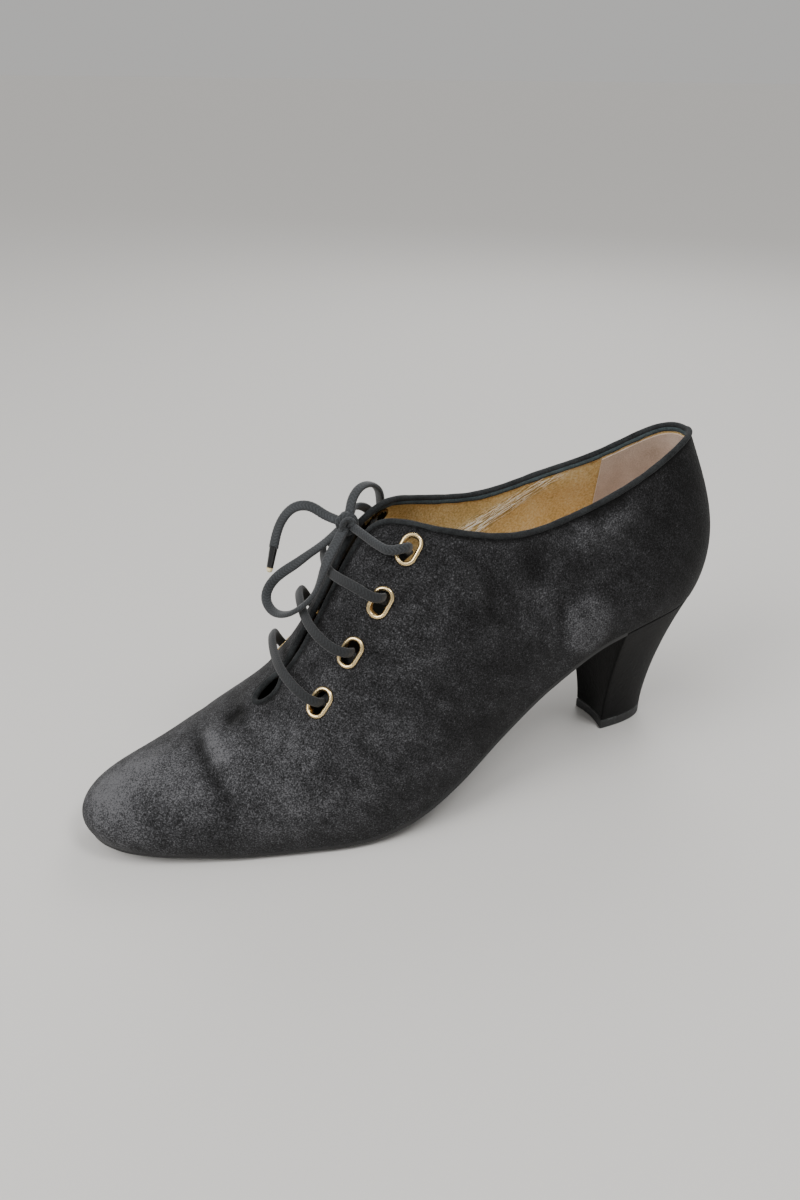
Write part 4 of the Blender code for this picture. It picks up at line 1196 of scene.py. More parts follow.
    def shell(self, fineness: float, steps: int, grow: float) -> Sheet:
        """Return the upper's outer face as a ring of ribs with the eyelets' holes left open.

        Args:
            fineness: How closely the ribs stand.
            steps: Steps along each rib, closer towards its top.
            grow: How far its edge is set back from the throat's own.

        Returns:
            The open sheet.
        """
        front = LAST.keyhole_front(grow)
        toe_rows = np.linspace(0, front, round(self.toe_steps * fineness) + 1)[:-1]
        rows = np.concatenate([toe_rows, LAST.throat_rows(grow, fineness)])
        shares = 1 - np.linspace(1, 0, steps + 1) ** self.rib_crowding
        points: list[Points] = []
        edge: list[float] = []
        index: dict[tuple[Side, int, int], int] = {}
        for side in Side:
            for i, (row, controls) in enumerate(zip(rows, LAST.rib_controls(side, rows))):
                shared = side is Side.MEDIAL and i in (0, len(rows) - 1)
                down = LAST.edge_down(side, row, grow)
                top = LAST.share_below_top(controls, down) if row > front else 1.0
                rib = LAST.along_rib(controls, shares * top)
                below = np.full(steps + 1, self.no_edge)
                if row > front:
                    below = np.linalg.norm(rib - rib[-1], axis=1)
                for j, point in enumerate(rib):
                    on_ridge = side is Side.MEDIAL and j == steps and row <= front
                    if shared or on_ridge:
                        index[side, i, j] = index[Side.LATERAL, i, j]
                    else:
                        index[side, i, j] = len(points)
                        points.append(point)
                        edge.append(below[j])
        ring = [(Side.LATERAL, i) for i in range(len(rows))]
        ring += [(Side.MEDIAL, i) for i in range(len(rows) - 2, 0, -1)]
        faces = [[index[(*a, j)], index[(*b, j)], index[(*b, j + 1)], index[(*a, j + 1)]]
                 for a, b in zip(ring, ring[1:] + ring[:1]) for j in range(steps)]
        return self.holed(Sheet(np.array(points), faces, {"edge": np.array(edge)}))

    def stadium_gap(self, points: Points, spot: Spot, size: tuple[float, float]) -> tuple[Points, Points]:
        """Return how far points lie outside an eyelet's long oval, and how high off its face.

        Args:
            points: Points to measure.
            spot: The eyelet's place.
            size: Length and width of the oval.

        Returns:
            The gaps, negative inside, and the heights.
        """
        away = points - spot.centre
        u, v, h = away @ spot.along, away @ spot.cross, away @ spot.normal
        straight = (size[0] - size[1]) / 2
        return np.hypot(np.maximum(np.abs(u) - straight, 0), v) - size[1] / 2, h

    def holed(self, sheet: Sheet) -> Sheet:
        """Return the sheet with a clean long oval hole at each eyelet.

        Args:
            sheet: The sheet without holes.

        Returns:
            The sheet with its holes' edges drawn true.
        """
        points, faces = sheet.points.copy(), sheet.faces
        straight, radius = (self.hole[0] - self.hole[1]) / 2, self.hole[1] / 2
        for _, _, spot in LAST.eyelet_spots():
            gap, height = self.stadium_gap(points[np.array(faces)].mean(axis=1), spot, self.hole)
            faces = [face for face, kept in zip(faces, (gap > 0) | (np.abs(height) > self.face_reach)) if kept]
            gap, height = self.stadium_gap(points, spot, self.hole)
            inside = (gap < 0) & (np.abs(height) < self.face_reach)
            u, v = (points[inside] - spot.centre) @ spot.along, (points[inside] - spot.centre) @ spot.cross
            core = np.clip(u, -straight, straight)
            spread = radius / np.maximum(np.hypot(u - core, v), 1e-6) - 1
            points[inside] += (spread * (u - core))[:, None] * spot.along + (spread * v)[:, None] * spot.cross
        return Sheet(points, faces, sheet.tones)

    def worn(self, sheet: Sheet) -> Sheet:
        """Return the sheet with creases, swells and the dents pressed round the eyelets, and its nap's tones with
        painted light and shade.

        Args:
            sheet: The new upper's outer face.

        Returns:
            The worn one.
        """
        points, normals = sheet.points.copy(), sheet.normals()
        rise, nap = np.zeros(len(points)), np.zeros(len(points))
        for mark in (*self.creases, *self.patches):
            weight = mark.weight(sheet.points)
            rise += mark.rise * weight
            nap += mark.tone * weight
        x, _, z = sheet.points.T
        # painted shade, darker towards the suede's foot
        nap -= self.foot_shade * ease(1 - (z - LAST.feather_height(x)) / self.foot_height)
        # painted light lighter towards the toe and painted shade darker towards the heel
        nap += sum(drift.at(x) for drift in self.drifts)
        # painted shade along the ditch beside the binding
        nap -= self.seam_shade * np.exp(-((sheet.tones["edge"] - self.seam_line) / self.seam_width) ** 2)
        points += normals * rise[:, None]
        for _, _, spot in LAST.eyelet_spots():
            gap, height = self.stadium_gap(points, spot, self.flange)
            weight = (1 - ease(gap / self.pressed)) * (np.abs(height) < self.face_reach)
            points -= spot.normal * (weight * (height + self.press_depth))[:, None]
        return Sheet(points, sheet.faces, {"nap": nap})

    def tucked(self, sheet: Sheet) -> Sheet:
        """Return the sheet with its foot turned in over the sole, as it is lasted.

        Args:
            sheet: Sheet to change.

        Returns:
            The same sheet.
        """
        foot = sheet.points[:, 2] - LAST.feather_height(sheet.points[:, 0]) - LAST.upper_lift
        low = np.abs(foot) < self.foot_tolerance
        sheet.points[low] -= sheet.normals()[low] * self.tuck
        sheet.points[low, 2] -= self.tuck
        return sheet

    def build(self) -> None:
        """Make suede, lining and heel grip."""
        outer = self.tucked(self.worn(self.shell(self.suede_fineness, self.suede_steps, self.edge_grow)))
        make_piece("upper_suede", outer.thickened(self.suede_depth), BLACK_SUEDE, ["upper"])
        inner = self.worn(self.shell(self.lining_fineness, self.lining_steps, self.lining_grow))
        inner = inner.moved(-self.suede_depth - self.lining_gap)
        crinkle = sum(crease.weight(inner.points) for crease in self.crinkles)
        away = np.linalg.norm(inner.points - np.array(self.smooth_spot), axis=1) / self.smooth_radius
        inner.points -= inner.normals() * (self.crinkle_rise * crinkle)[:, None]
        inner.tones = {"crinkle": np.maximum(crinkle - self.smooth_share * np.exp(-away ** 2), 0.0)}
        across = unit([1.0, 0.0, -self.vamp_slant])
        seam, quads = np.array(self.vamp_seam), np.array(inner.faces)
        ahead = (inner.points[quads].mean(axis=1) - seam) @ across > 0
        shared = np.intersect1d(quads[ahead], quads[~ahead])
        inner.points[shared] -= ((inner.points[shared] - seam) @ across)[:, None] * across
        for name, finish, kept in (("quarter_lining", GOLD_LINING, ~ahead), ("vamp_lining", DARK_LINING, ahead)):
            faces = [face for face, keep in zip(inner.faces, kept) if keep]
            make_piece(name, Sheet(inner.points, faces, inner.tones).trimmed().thickened(self.lining_depth), finish,
                       ["upper"])
        self.build_grip()

    def build_grip(self) -> None:
        """Make the grip that lines the heel behind a seam."""
        depth = self.suede_depth + self.lining_depth + 2 * self.lining_gap
        rows = np.linspace(self.grip_start_row, LAST.last_row, self.grip_rows)
        shares = np.linspace(self.grip_foot_share, 1.0, self.grip_steps + 1)
        seam_x, seam_z, lean = self.seam
        halves = []
        for side in Side:
            curves = []
            for row, controls in zip(rows, LAST.rib_controls(side, rows)):
                top = LAST.share_below_top(controls, LAST.edge_down(side, row, self.grip_grow))
                curves.append(LAST.along_rib(controls, shares * top))
            curves = np.array(curves)
            strip = []
            for j in range(len(shares)):
                start = np.interp(-seam_x, lean * (curves[:, j, 2] - seam_z) - curves[:, j, 0], rows)
                strip.append(read_line(np.linspace(start, LAST.last_row, self.grip_count + 1), rows, curves[:, j]))
            halves.append(np.array(strip))
        ring = np.concatenate([halves[0], halves[1][:, -2::-1]], axis=1)
        sheet = Sheet.grid([ring[:, k] for k in reversed(range(ring.shape[1]))])
        make_piece("heel_grip", sheet.moved(-depth).thickened(self.grip_depth), HEEL_GRIP, ["upper"])


@dataclass
class CollarBinding:
    """The folded tape round keyhole, slit and collar."""

    radius: float = 1.25
    sink: float = 0.5
    half_depth: float = 1.12
    half_width: float = 1.12
    flap: tuple[tuple[float, float], ...] = (
        (-0.3, -0.3), (-1.25, 1.6), (-1.45, 1.75), (-1.63, 1.6), (-1.66, 1.1), (-1.45, 0.6), (-0.9, -0.2))
    ripple: float = 0.07
    ripple_lengths: tuple[float, float, float] = (2.3, 7.1, 1.3)
    ripple_shares: tuple[float, float] = (0.6, 0.4)
    ripple_phase: float = 1.0
    section_steps: int = 18
    fineness: float = 6.0

    def path(self) -> tuple[Points, Points]:
        """Return the closed line down the middle of the fold, and the upper's normals along it.

        Returns:
            The points and the normals.
        """
        rows = LAST.throat_rows(self.radius, self.fineness)
        faces = {side: [LAST.face(side, row, LAST.edge_down(side, row, self.radius)) for row in rows]
                 for side in Side}
        loop = faces[Side.LATERAL] + faces[Side.MEDIAL][-2:0:-1]
        points = np.array([point - self.sink * normal for point, normal in loop])
        return points, np.array([normal for _, normal in loop])

    def build(self) -> None:
        """Make the rolled edge and the flap turned inside as one piece."""
        points, normals = self.path()
        along = unit(np.roll(points, -1, axis=0) - np.roll(points, 1, axis=0))
        down = unit(np.cross(along, normals))
        out = np.cross(down, along)
        run = np.cumsum(np.linalg.norm(np.diff(points, axis=0, append=points[:1]), axis=1))
        short, long, fine = (np.sin(run / length + phase) for length, phase in
                             zip(self.ripple_lengths, (0.0, 0.0, self.ripple_phase)))
        swell = 1 + self.ripple * (self.ripple_shares[0] * short * long + self.ripple_shares[1] * fine)
        turn = np.linspace(0, 2 * math.pi, self.section_steps, endpoint=False)
        roll = np.column_stack([self.half_depth * np.cos(turn), self.half_width * np.sin(turn)])
        sheets = []
        for section, tone in ((roll, np.zeros(len(roll))), (np.array(self.flap), np.ones(len(self.flap)))):
            rings = [point + (o * section[:, :1] + d * section[:, 1:]) * s
                     for point, o, d, s in zip(points, out, down, swell)]
            sheets.append(Sheet.torus(rings))
            sheets[-1].tones["inside"] = np.tile(tone, len(rings))
        make_piece("collar_binding_tape", sheets[0].joined(sheets[1]), BINDING_TAPE, ["collar_binding"])


@dataclass
class Bottom:
    """Outsole, sock, covered heel and top piece."""

    sole_thickness: float = 2.0
    sole_reach: float = 0.2
    sole_end_x: float = 44.3
    sole_hollow: float = 1.6    # the end follows the heel's hollowed front
    sock_inset: float = 2.0
    sock_height: float = 2.8
    sock_depth: float = 2.0
    breast_x: float = 44.5
    top_piece_height: float = 4.0
    foot_back_x: float = 11.5
    foot_front_x: float = 35.5
    foot_half_width: float = 9.2
    foot_y: float = -2.0
    flare: float = 1.6
    foot_round: float = 2.6
    seat_inset: float = 0.3
    breast_hollow: float = 1.4
    stations: int = 110
    cross_steps: int = 22
    tip_share: float = 1e-4     # keeps the two edges apart at toe and heel
    hollow_reach: float = 8.0
    tread: WornPatch = WornPatch((176.0, -2.0, 0.0), (24.0, 22.0, ANY_HEIGHT), 0.22)
    nick: WornPatch = WornPatch((188.4, 27.0, 3.2), (1.0, 1.0, 1.0), 0.6)
    prints: tuple[WornPatch, ...] = (
        WornPatch((165.0, -4.0, 0.0), (22.0, 20.0, ANY_HEIGHT), -0.12, -0.8),
        WornPatch((28.0, 0.0, 0.0), (20.0, 14.0, ANY_HEIGHT), -0.10, -0.7))
    sock_cup: float = 0.7
    sock_cup_power: int = 4
    # painted shade that darkens the sock towards the toe, deep inside the shoe
    sock_front: ToneDrift = ToneDrift(-0.4, 90.0, 35.0)
    heel_around: int = 80
    heel_across: int = 16
    heel_levels: int = 34
    heel_joint: float = 0.15
    # painted shade of the heel's sides and of its breast, which faces in under the arch
    heel_tone: float = -0.42
    breast_tone: float = -0.55
    heel_scuff: tuple[float, float] = (0.10, 3.0)       # tone and height, as for the next two
    tread_scuff: tuple[float, float] = (0.25, 0.8)
    joint_scuff: tuple[float, float] = (0.2, 0.4)
    top_piece_levels: int = 7

    def bottom_sheet(self, offset: float, lift: float, end_x: Optional[float] = None, hollow: float = 0.0) -> Sheet:
        """Return a sheet in the shape of the last's bottom.

        Args:
            offset: How far its edge stands out from the feather edge.
            lift: Height over the feather edge.
            end_x: Station behind which it is cut off, if any.
            hollow: How far the middle of its cut end runs on towards the heel.

        Returns:
            The open sheet, facing up, with its share across as a tone.
        """
        edges = []
        for side in Side:
            end = 1.0 if end_x is None else LAST.share_at_x(side, end_x, offset)
            even = np.linspace(0, 1, self.stations + 1)
            share = end * ((1 - np.cos(math.pi * even)) / 2 + even) / 2
            share[0] = self.tip_share
            if end_x is None:
                share[-1] = 1 - self.tip_share
            edges.append(LAST.feather_plan(side, share, offset)[0])
        across = np.linspace(0, 1, self.cross_steps + 1)
        rows = []
        for a, b in zip(*edges):
            plan = a + (b - a) * across[:, None]
            if end_x is not None:
                plan[:, 0] -= hollow * np.sin(across * math.pi) * ease(1 - (plan[:, 0] - end_x) / self.hollow_reach)
            rows.append(np.column_stack([plan, LAST.feather_height(plan[:, 0]) + lift]))
        sheet = Sheet.grid(rows)
        sheet.tones["across"] = np.tile(across, len(rows))
        return sheet

    def build(self) -> None:
        """Make the four pieces."""
        sole = self.bottom_sheet(self.sole_reach, 0.0, self.sole_end_x, self.sole_hollow)
        sole = sole.thickened(self.sole_thickness)
        underneath = np.arange(len(sole.points)) >= len(sole.points) // 2
        sole.tones = {"wear": underneath * self.tread.tone * self.tread.weight(sole.points)
                      + self.nick.tone * self.nick.weight(sole.points)}
        make_piece("outsole_leather", sole, SOLE_LEATHER, ["outsole"], bevel=0.5)
        self.build_sock()
        self.build_heel()
        self.build_top_piece()

    def build_sock(self) -> None:
        """Make the sock, pressed by the foot under heel and ball and cupped at its edges, with painted shade
        darkening it towards the toe.
        """
        sock = self.bottom_sheet(-self.sock_inset, self.sock_height)
        rise = self.sock_cup * np.abs(sock.tones["across"] * 2 - 1) ** self.sock_cup_power
        # painted shade towards the toe; the foot's prints below darken it as stains
        wear = self.sock_front.at(sock.points[:, 0])
        for mark in self.prints:
            weight = mark.weight(sock.points)
            rise += mark.rise * weight
            wear += mark.tone * weight
        sock.points[:, 2] += rise
        sock.tones = {"wear": wear}
        make_piece("insole_sock", sock.thickened(self.sock_depth), SOCK_LEATHER, ["insole"])

    def foot_outline(self) -> Points:
        """Return the outline of the heel's foot, from its outer front corner round the back to its inner one.

        Returns:
            Its plan points.
        """
        turn = np.linspace(0, math.pi, self.heel_around + 1)
        x = self.foot_front_x - (self.foot_front_x - self.foot_back_x) * np.sin(turn) ** (2 / self.foot_round)
        return np.column_stack([x, self.foot_y + self.foot_half_width * np.cos(turn)])

    def seat_outline(self) -> Points:
        """Return the outline of the heel seat, which follows the feather edge behind the breast.

        Returns:
            Its plan points, as many as the foot's.
        """
        edges = []
        for side in Side:
            start = LAST.share_at_x(side, self.breast_x, -self.seat_inset)
            share = np.linspace(start, 1.0, self.heel_around // 2 + 1)
            edges.append(LAST.feather_plan(side, share, -self.seat_inset)[0])
        return np.concatenate([edges[0], edges[1][-2::-1]])

    def closed_outline(self, outline: Points) -> Points:
        """Return an outline closed across the heel's front by a gently hollowed line.

        Args:
            outline: The open outline.

        Returns:
            The closed one.
        """
        share = np.linspace(0, 1, self.heel_across + 1)[1:-1]
        line = outline[-1] + (outline[0] - outline[-1]) * share[:, None]
        line[:, 0] -= self.breast_hollow * np.sin(share * math.pi)
        return np.concatenate([outline, line])

    def build_heel(self) -> None:
        """Make the suede-covered heel, which swells from its foot to the heel seat, with painted shade on its sides
        and a darker one on its breast.
        """
        foot = self.closed_outline(self.foot_outline())
        seat = self.closed_outline(self.seat_outline())
        low, high = self.top_piece_height + self.heel_joint, LAST.feather_height(seat[:, 0])
        rings = []
        for level in np.linspace(0, 1, self.heel_levels + 1):
            plan = foot + (seat - foot) * level ** self.flare
            rings.append(np.column_stack([plan, low + (high - low) * level]))
        sheet = Sheet.grid(rings, closed=True, capped=True)
        front = (np.arange(len(sheet.points)) % len(foot)) > self.heel_around
        scuff, scuff_height = self.heel_scuff
        # painted shade on sides and breast, lightened near the foot by scuffs
        sheet.tones["nap"] = (np.where(front, self.breast_tone, self.heel_tone)
                              + scuff * np.exp(-(sheet.points[:, 2] - low) / scuff_height))
        make_piece("heel_cover", sheet, BLACK_SUEDE, ["heel"], sharp=60, bevel=0.6)

    def build_top_piece(self) -> None:
        """Make the top piece, scuffed pale along its lower edge."""
        ring = self.closed_outline(self.foot_outline())
        rings = [np.column_stack([ring, np.full(len(ring), z)])
                 for z in np.linspace(0, self.top_piece_height, self.top_piece_levels)]
        sheet = Sheet.grid(rings, closed=True, capped=True)
        up = sheet.points[:, 2]
        sheet.tones["wear"] = sum(tone * np.exp(-away / height) for (tone, height), away in (
            (self.tread_scuff, up), (self.joint_scuff, self.top_piece_height - up)))
        make_piece("heel_top_piece_rubber", sheet, TOP_RUBBER, ["heel_top_piece"], bevel=0.35)


@dataclass
class Eyelets:
    """Long oval eyelets with a rolled flange outside, a barrel, and a clinched back inside."""

    opening: tuple[float, float] = (8.4, 4.4)
    medial_height: float = 0.55
    end_steps: int = 18
    barrel_top: float = -0.3    # below this the plating is dull
    section: tuple[tuple[float, float], ...] = (
        (0.0, -2.1), (0.0, -1.0), (0.0, 0.0), (0.04, 0.36), (0.18, 0.66), (0.44, 0.88), (0.78, 0.96),
        (1.1, 0.88), (1.36, 0.64), (1.52, 0.34), (1.56, 0.06), (1.48, -0.12), (0.9, -0.15), (0.45, -0.2),
        (0.45, -1.9), (1.1, -2.0), (1.25, -2.25), (1.05, -2.55), (0.6, -2.65), (0.2, -2.5))

    def outline(self, grow: float) -> Points:
        """Return the long oval opening, grown all round, long way along u.

        Args:
            grow: How far it is grown.

        Returns:
            Its points in the plane of the eyelet.
        """
        length, width = (size + 2 * grow for size in self.opening)
        radius, straight = width / 2, (length - width) / 2
        points = []
        for middle, start in ((straight, -math.pi / 2), (-straight, math.pi / 2)):
            for angle in np.linspace(start, start + math.pi, self.end_steps + 1):
                points.append((middle + radius * math.cos(angle), radius * math.sin(angle)))
        return np.array(points)

    def build(self) -> None:
        """Make the eight eyelets."""
        for side, number, spot in LAST.eyelet_spots():
            rings = []
            for grow, height in self.section:
                flat = self.outline(grow)
                if side is Side.MEDIAL and height > 0:
                    height *= self.medial_height
                rings.append(spot.centre + flat[:, :1] * spot.along + flat[:, 1:] * spot.cross
                             + height * spot.normal)
            sheet = Sheet.torus(rings).turned()
            sheet.tones["dull"] = np.repeat([float(height < self.barrel_top) for _, height in self.section],
                                            len(rings[0]))
            name = f"eyelet_{side.word}_{number}"
            make_piece(f"{name}_metal", sheet, PALE_GOLD, [name], sharp=70)


class Rise(NamedTuple):
    """One point of the lace on its way out of an eyelet."""

    inward: float
    height: float
    slack: float


class Bar(NamedTuple):
    """One bar of the lace between a pair of eyelets."""

    pair: int
    cross_row: float
    hump: float
    slot: float
    droop: float


class InnerRun(NamedTuple):
    """A stretch of lace inside the shoe, from one eyelet up to another."""

    side: Side
    low: int
    high: int


@dataclass
class Lacing:
    """The braided lace: bars, ties, inner runs, knot, loop and ends."""

    width: float = 3.4
    thickness: float = 1.8
    roundness: float = 0.8
    knot_centre: Point = (140.9, -2.0, 105.2)
    knot_normal: Point = (0.85, 0.0, 0.53)
    knot_length: float = 6.2
    knot_width: float = 3.2
    knot_thickness: float = 1.6
    knot_samples: int = 220
    knot_turns: float = 2.5
    knot_phase: float = 0.6
    knot_core: float = 0.5
    knot_girth: float = 1.75
    knot_taper: float = 0.14
    knot_wave: float = 0.2
    ring_steps: int = 30
    step: float = 0.27
    picks: int = 10
    pick_length: float = 1.15
    pick_slant: float = 0.8
    relief: float = 0.06
    # painted shade that darkens the bars against the rest of the lace
    bar_tone: float = -0.6
    aglet_radius: float = 1.3
    aglet_steps: int = 24
    aglet_shape: tuple[tuple[float, float], ...] = (    # places along it, and its radius there as a share
        (-0.6, 1.02), (-0.5, 1.12), (0.2, 1.1), (3.0, 1.0), (6.0, 0.92), (7.6, 0.86), (8.2, 0.72), (8.5, 0.4))
    rubbed_from: float = 7.0
    stub_start: int = 4         # point of the route that a hidden start overlaps from
    stub_reach: float = 1.2
    stub_bow: float = 0.4
    stub_play: float = 0.05
    medial_rise: float = 0.75
    medial_from: float = 2.8    # height over the face from which the inner side's lace lies lower
    slit_nudge: float = 0.2
    run_points: int = 7
    run_spread: float = 4.8     # how far a run past one eyelet keeps clear of it
    run_depth: float = 4.6
    run_mouth: float = 1.0
    rises: tuple[Rise, ...] = (Rise(0.0, -1.0, 0.0), Rise(0.4, 1.8, 0.1), Rise(2.6, 4.2, 0.5), Rise(7.5, 6.0, 1.0))
    bars: tuple[Bar, ...] = (Bar(2, 6.2, 4.6, 1.8, 3.2), Bar(3, 5.55, 6.0, 0.0, 3.2), Bar(4, 4.62, 6.7, 0.0, 2.5))
    inner_runs: tuple[InnerRun, ...] = (
        InnerRun(Side.LATERAL, 4, 3), InnerRun(Side.MEDIAL, 4, 2), InnerRun(Side.MEDIAL, 3, 1),
        InnerRun(Side.LATERAL, 2, 1))
    lateral_tie: tuple[Point, ...] = ((132.5, 16.0, 101.7), (135.3, 12.0, 102.0), (139.1, 2.5, 104.2))
    medial_tie: tuple[Point, ...] = ((131.0, -15.0, 104.6), (135.0, -11.4, 106.0), (138.4, -6.0, 105.5))
    loop: tuple[Point, ...] = (
        (143.6, -4.0, 101.9), (148.3, -6.5, 96.6), (152.2, -8.2, 93.3), (156.5, -10.2, 89.5), (161.1, -12.5, 85.6),
        (165.0, -12.5, 82.2), (167.2, -11.0, 78.2), (166.6, -7.0, 75.4), (164.2, -1.6, 75.9), (160.7, 3.4, 79.6),
        (156.2, 4.8, 83.9), (153.3, 5.3, 89.8), (150.9, 5.1, 95.6), (147.5, 3.3, 99.9), (143.8, 0.3, 102.9))
    ends: tuple[tuple[Point, ...], ...] = (
        ((144.0, -5.2, 105.8), (146.8, -8.0, 106.9), (150.3, -10.5, 109.1), (154.2, -13.5, 108.7),
         (157.7, -15.9, 105.1), (160.4, -16.7, 99.6), (162.3, -15.9, 93.9)),
        ((139.4, -3.4, 108.8), (138.0, -4.6, 112.0), (134.6, -7.0, 114.6), (129.6, -10.2, 114.2),
         (125.0, -14.2, 110.2), (122.2, -18.8, 103.6), (120.8, -21.5, 95.6), (120.1, -24.0, 87.0)))
    loop_twist: float = 1.25
    twist_starts: tuple[float, float] = (0.12, 0.68)    # shares of the loop where it turns, and turns back
    twist_span: float = 0.25
    end_faces: tuple[Point, ...] = ((0.2, 0.5, 0.8), (0.8, 0.5, 0.3))
    end_twists: tuple[float, ...] = (0.7, -0.4)
    stubs: list[Sheet] = field(default_factory=list)

    @staticmethod
    def frames(route: Points, edge: Any, twist: Any) -> tuple[Points, Points]:
        """Return the directions to one edge and to one flat side of a lace along its route.

        Args:
            route: Points down its middle.
            edge: Direction to the edge at the start.
            twist: Angle in radians that it turns about the route, one for all or one for each point.

        Returns:
            The directions to the edge and to the flat side.
        """
        along = unit(np.gradient(route, axis=0))
        carried, edges = unit(edge), []
        for way in along:
            carried = unit(carried - way * (carried @ way))
            edges.append(carried)
        edges = np.array(edges)
        flats = np.cross(edges, along)
        twist = np.broadcast_to(np.asarray(twist, float), len(route))[:, None]
        return edges * np.cos(twist) + flats * np.sin(twist), flats * np.cos(twist) - edges * np.sin(twist)

    def tube(self, route: Points, edge: Any, twist: Any = 0.0, width: float = 0.0, thickness: float = 0.0) -> Sheet:
        """Return a stretch of flat lace along a route.

        Args:
            route: Points down its middle.
            edge: Direction from its middle to one edge at the start, which is carried along the route.
            twist: Angle in radians that it turns about the route, one for all or one for each point.
            width: Width over the flat side, the lace's own if zero.
            thickness: Thickness, the lace's own if zero.

        Returns:
            The closed tube with its braid's relief and tone.
        """
        width, thickness = width or self.width, thickness or self.thickness
        edges, flats = self.frames(route, edge, twist)
        run = run_along(route)
        turn = np.linspace(0, 2 * math.pi, self.ring_steps, endpoint=False)
        over = np.sign(np.cos(turn)) * np.abs(np.cos(turn)) ** self.roundness
        beside = np.sign(np.sin(turn)) * np.abs(np.sin(turn)) ** self.roundness
        slant = np.abs(turn / (2 * math.pi) * self.picks % 2 - 1)
        rings, tones = [], []
        for point, flat, side, at in zip(route, flats, edges, run):
            pick = 0.5 + 0.5 * np.cos(2 * math.pi * (at / self.pick_length + self.pick_slant * slant))
            scale = 1 + (pick - 0.5) * self.relief
            rings.append(point + flat * (thickness / 2 * over * scale)[:, None]
                         + side * (width / 2 * beside * scale)[:, None])
            tones.append(pick)
        sheet = Sheet.grid(rings, closed=True, capped=True)
        sheet.tones["braid"] = np.concatenate(tones)
        return sheet

    def rise_points(self, side: Side, pair: int, rises: Sequence[Rise], slot: float = 0.0,
                    droop: float = 0.0) -> list[Points]:
        """Return the lace's points out of an eyelet, from inside its barrel towards the slit.

        Args:
            side: Half of the shoe.
            pair: Number of the eyelet.
            rises: Points of the way out.
            slot: How far along the eyelet the lace sits.
            droop: How far it sags along the slit.

        Returns:
            The points.
        """
        spot = LAST.eyelet_spot(side, pair)
        inward = LAST.point(side, LAST.eyelets[pair - 1].rib_row, 0.0) - spot.centre
        inward = unit(inward - spot.normal * (inward @ spot.normal))
        lower = self.medial_rise if side is Side.MEDIAL else 1.0
        points = []
        for rise in rises:
            height = rise.height * lower if rise.height > self.medial_from else rise.height
            points.append(spot.centre + spot.along * (slot - droop * rise.slack) + inward * rise.inward
                          + spot.normal * height)
        return points

    def bar_route(self, bar: Bar) -> tuple[Points, Points]:
        """Return a bar's route over the slit, and the slit's direction.

        Args:
            bar: The bar.

        Returns:
            The route and the direction.
        """
        outer = self.rise_points(Side.LATERAL, bar.pair, self.rises, bar.slot, bar.droop)
        inner = self.rise_points(Side.MEDIAL, bar.pair, self.rises, bar.slot)
        edges = [LAST.point(side, bar.cross_row, 0.0) for side in Side]
        along = (LAST.point(Side.LATERAL, bar.cross_row + self.slit_nudge, 0.0)
                 - LAST.point(Side.LATERAL, bar.cross_row - self.slit_nudge, 0.0))
        normal = unit(np.array([along[2], 0.0, -along[0]]))
        top = sum(edges) / 2 + normal * bar.hump
        return smooth_route([*outer, top, *inner[::-1]], self.step), unit(along)

    def run_route(self, run: InnerRun) -> tuple[Points, Points]:
        """Return the route of an inner run along the lining, and the direction across it.

        Args:
            run: The inner run.

        Returns:
            The route and the direction.
        """
        low, high = LAST.eyelets[run.low - 1], LAST.eyelets[run.high - 1]
        points = []
        spread = self.run_spread if run.low - run.high > 1 else 0.0
        for share in np.linspace(0, 1, self.run_points):
            row = low.rib_row + (high.rib_row - low.rib_row) * share
            down = low.down + (high.down - low.down) * share - spread * math.sin(math.pi * share)
            point, normal = LAST.face(run.side, row, down)
            depth = self.run_depth if 0 < share < 1 else self.run_mouth
            points.append(point - normal * depth)
        return smooth_route(points, self.step), LAST.eyelet_spot(run.side, run.low).cross

    def build(self) -> None:
        """Make every stretch of the lace."""
        self.build_cords()
        for bar in self.bars:
            route, slit = self.bar_route(bar)
            braid = self.tube(route, slit)
            # painted shade: the bars drawn darker than the loop, ties and ends
            braid.tones["braid"] += self.bar_tone
            make_piece(f"lace_bar_{bar.pair}_braid", braid, LACE_COTTON, [f"lace_bar_{bar.pair}"])
        for side, route in ((Side.LATERAL, self.lateral_tie), (Side.MEDIAL, self.medial_tie)):
            points = smooth_route([*self.rise_points(side, 1, self.rises[:2]), *route, self.knot_centre], self.step)
            name = f"lace_tie_{side.word}"
            make_piece(f"{name}_braid", self.tube(points, LAST.eyelet_spot(side, 1).along), LACE_COTTON, [name])
        for run in self.inner_runs:
            route, across = self.run_route(run)
            make_piece(f"lace_run_{run.side.word}_{run.low}_{run.high}", self.tube(route, across), LACE_COTTON)

    def build_cords(self) -> None:
        route = smooth_route(self.loop, self.step)
        share = np.linspace(0, 1, len(route))
        edge = np.cross(self.knot_normal, route[1] - route[0])
        turned, back = (ease((share - start) / self.twist_span) for start in self.twist_starts)
        twist = self.loop_twist * (turned - back)
        loop = make_piece("lace_loop_braid", self.tube(route, edge, twist), LACE_COTTON, ["lace_loop"])
        edges, _ = self.frames(route, edge, twist)
        self.stubs = [self.stub(route, edges[0]), self.stub(route[::-1], edges[-1])]
        for number, end in enumerate(self.ends, 1):
            route = smooth_route(end, self.step)
            edge = np.cross(self.end_faces[number - 1], route[1] - route[0])
            twist = np.linspace(0, self.end_twists[number - 1], len(route))
            cord = make_piece(f"lace_end_{number}_braid", self.tube(route, edge, twist), LACE_COTTON,
                              [f"lace_end_{number}"])
            self.stubs.append(self.stub(route, edge))
            aglet = self.build_aglet(number, route)
        self.build_knot()

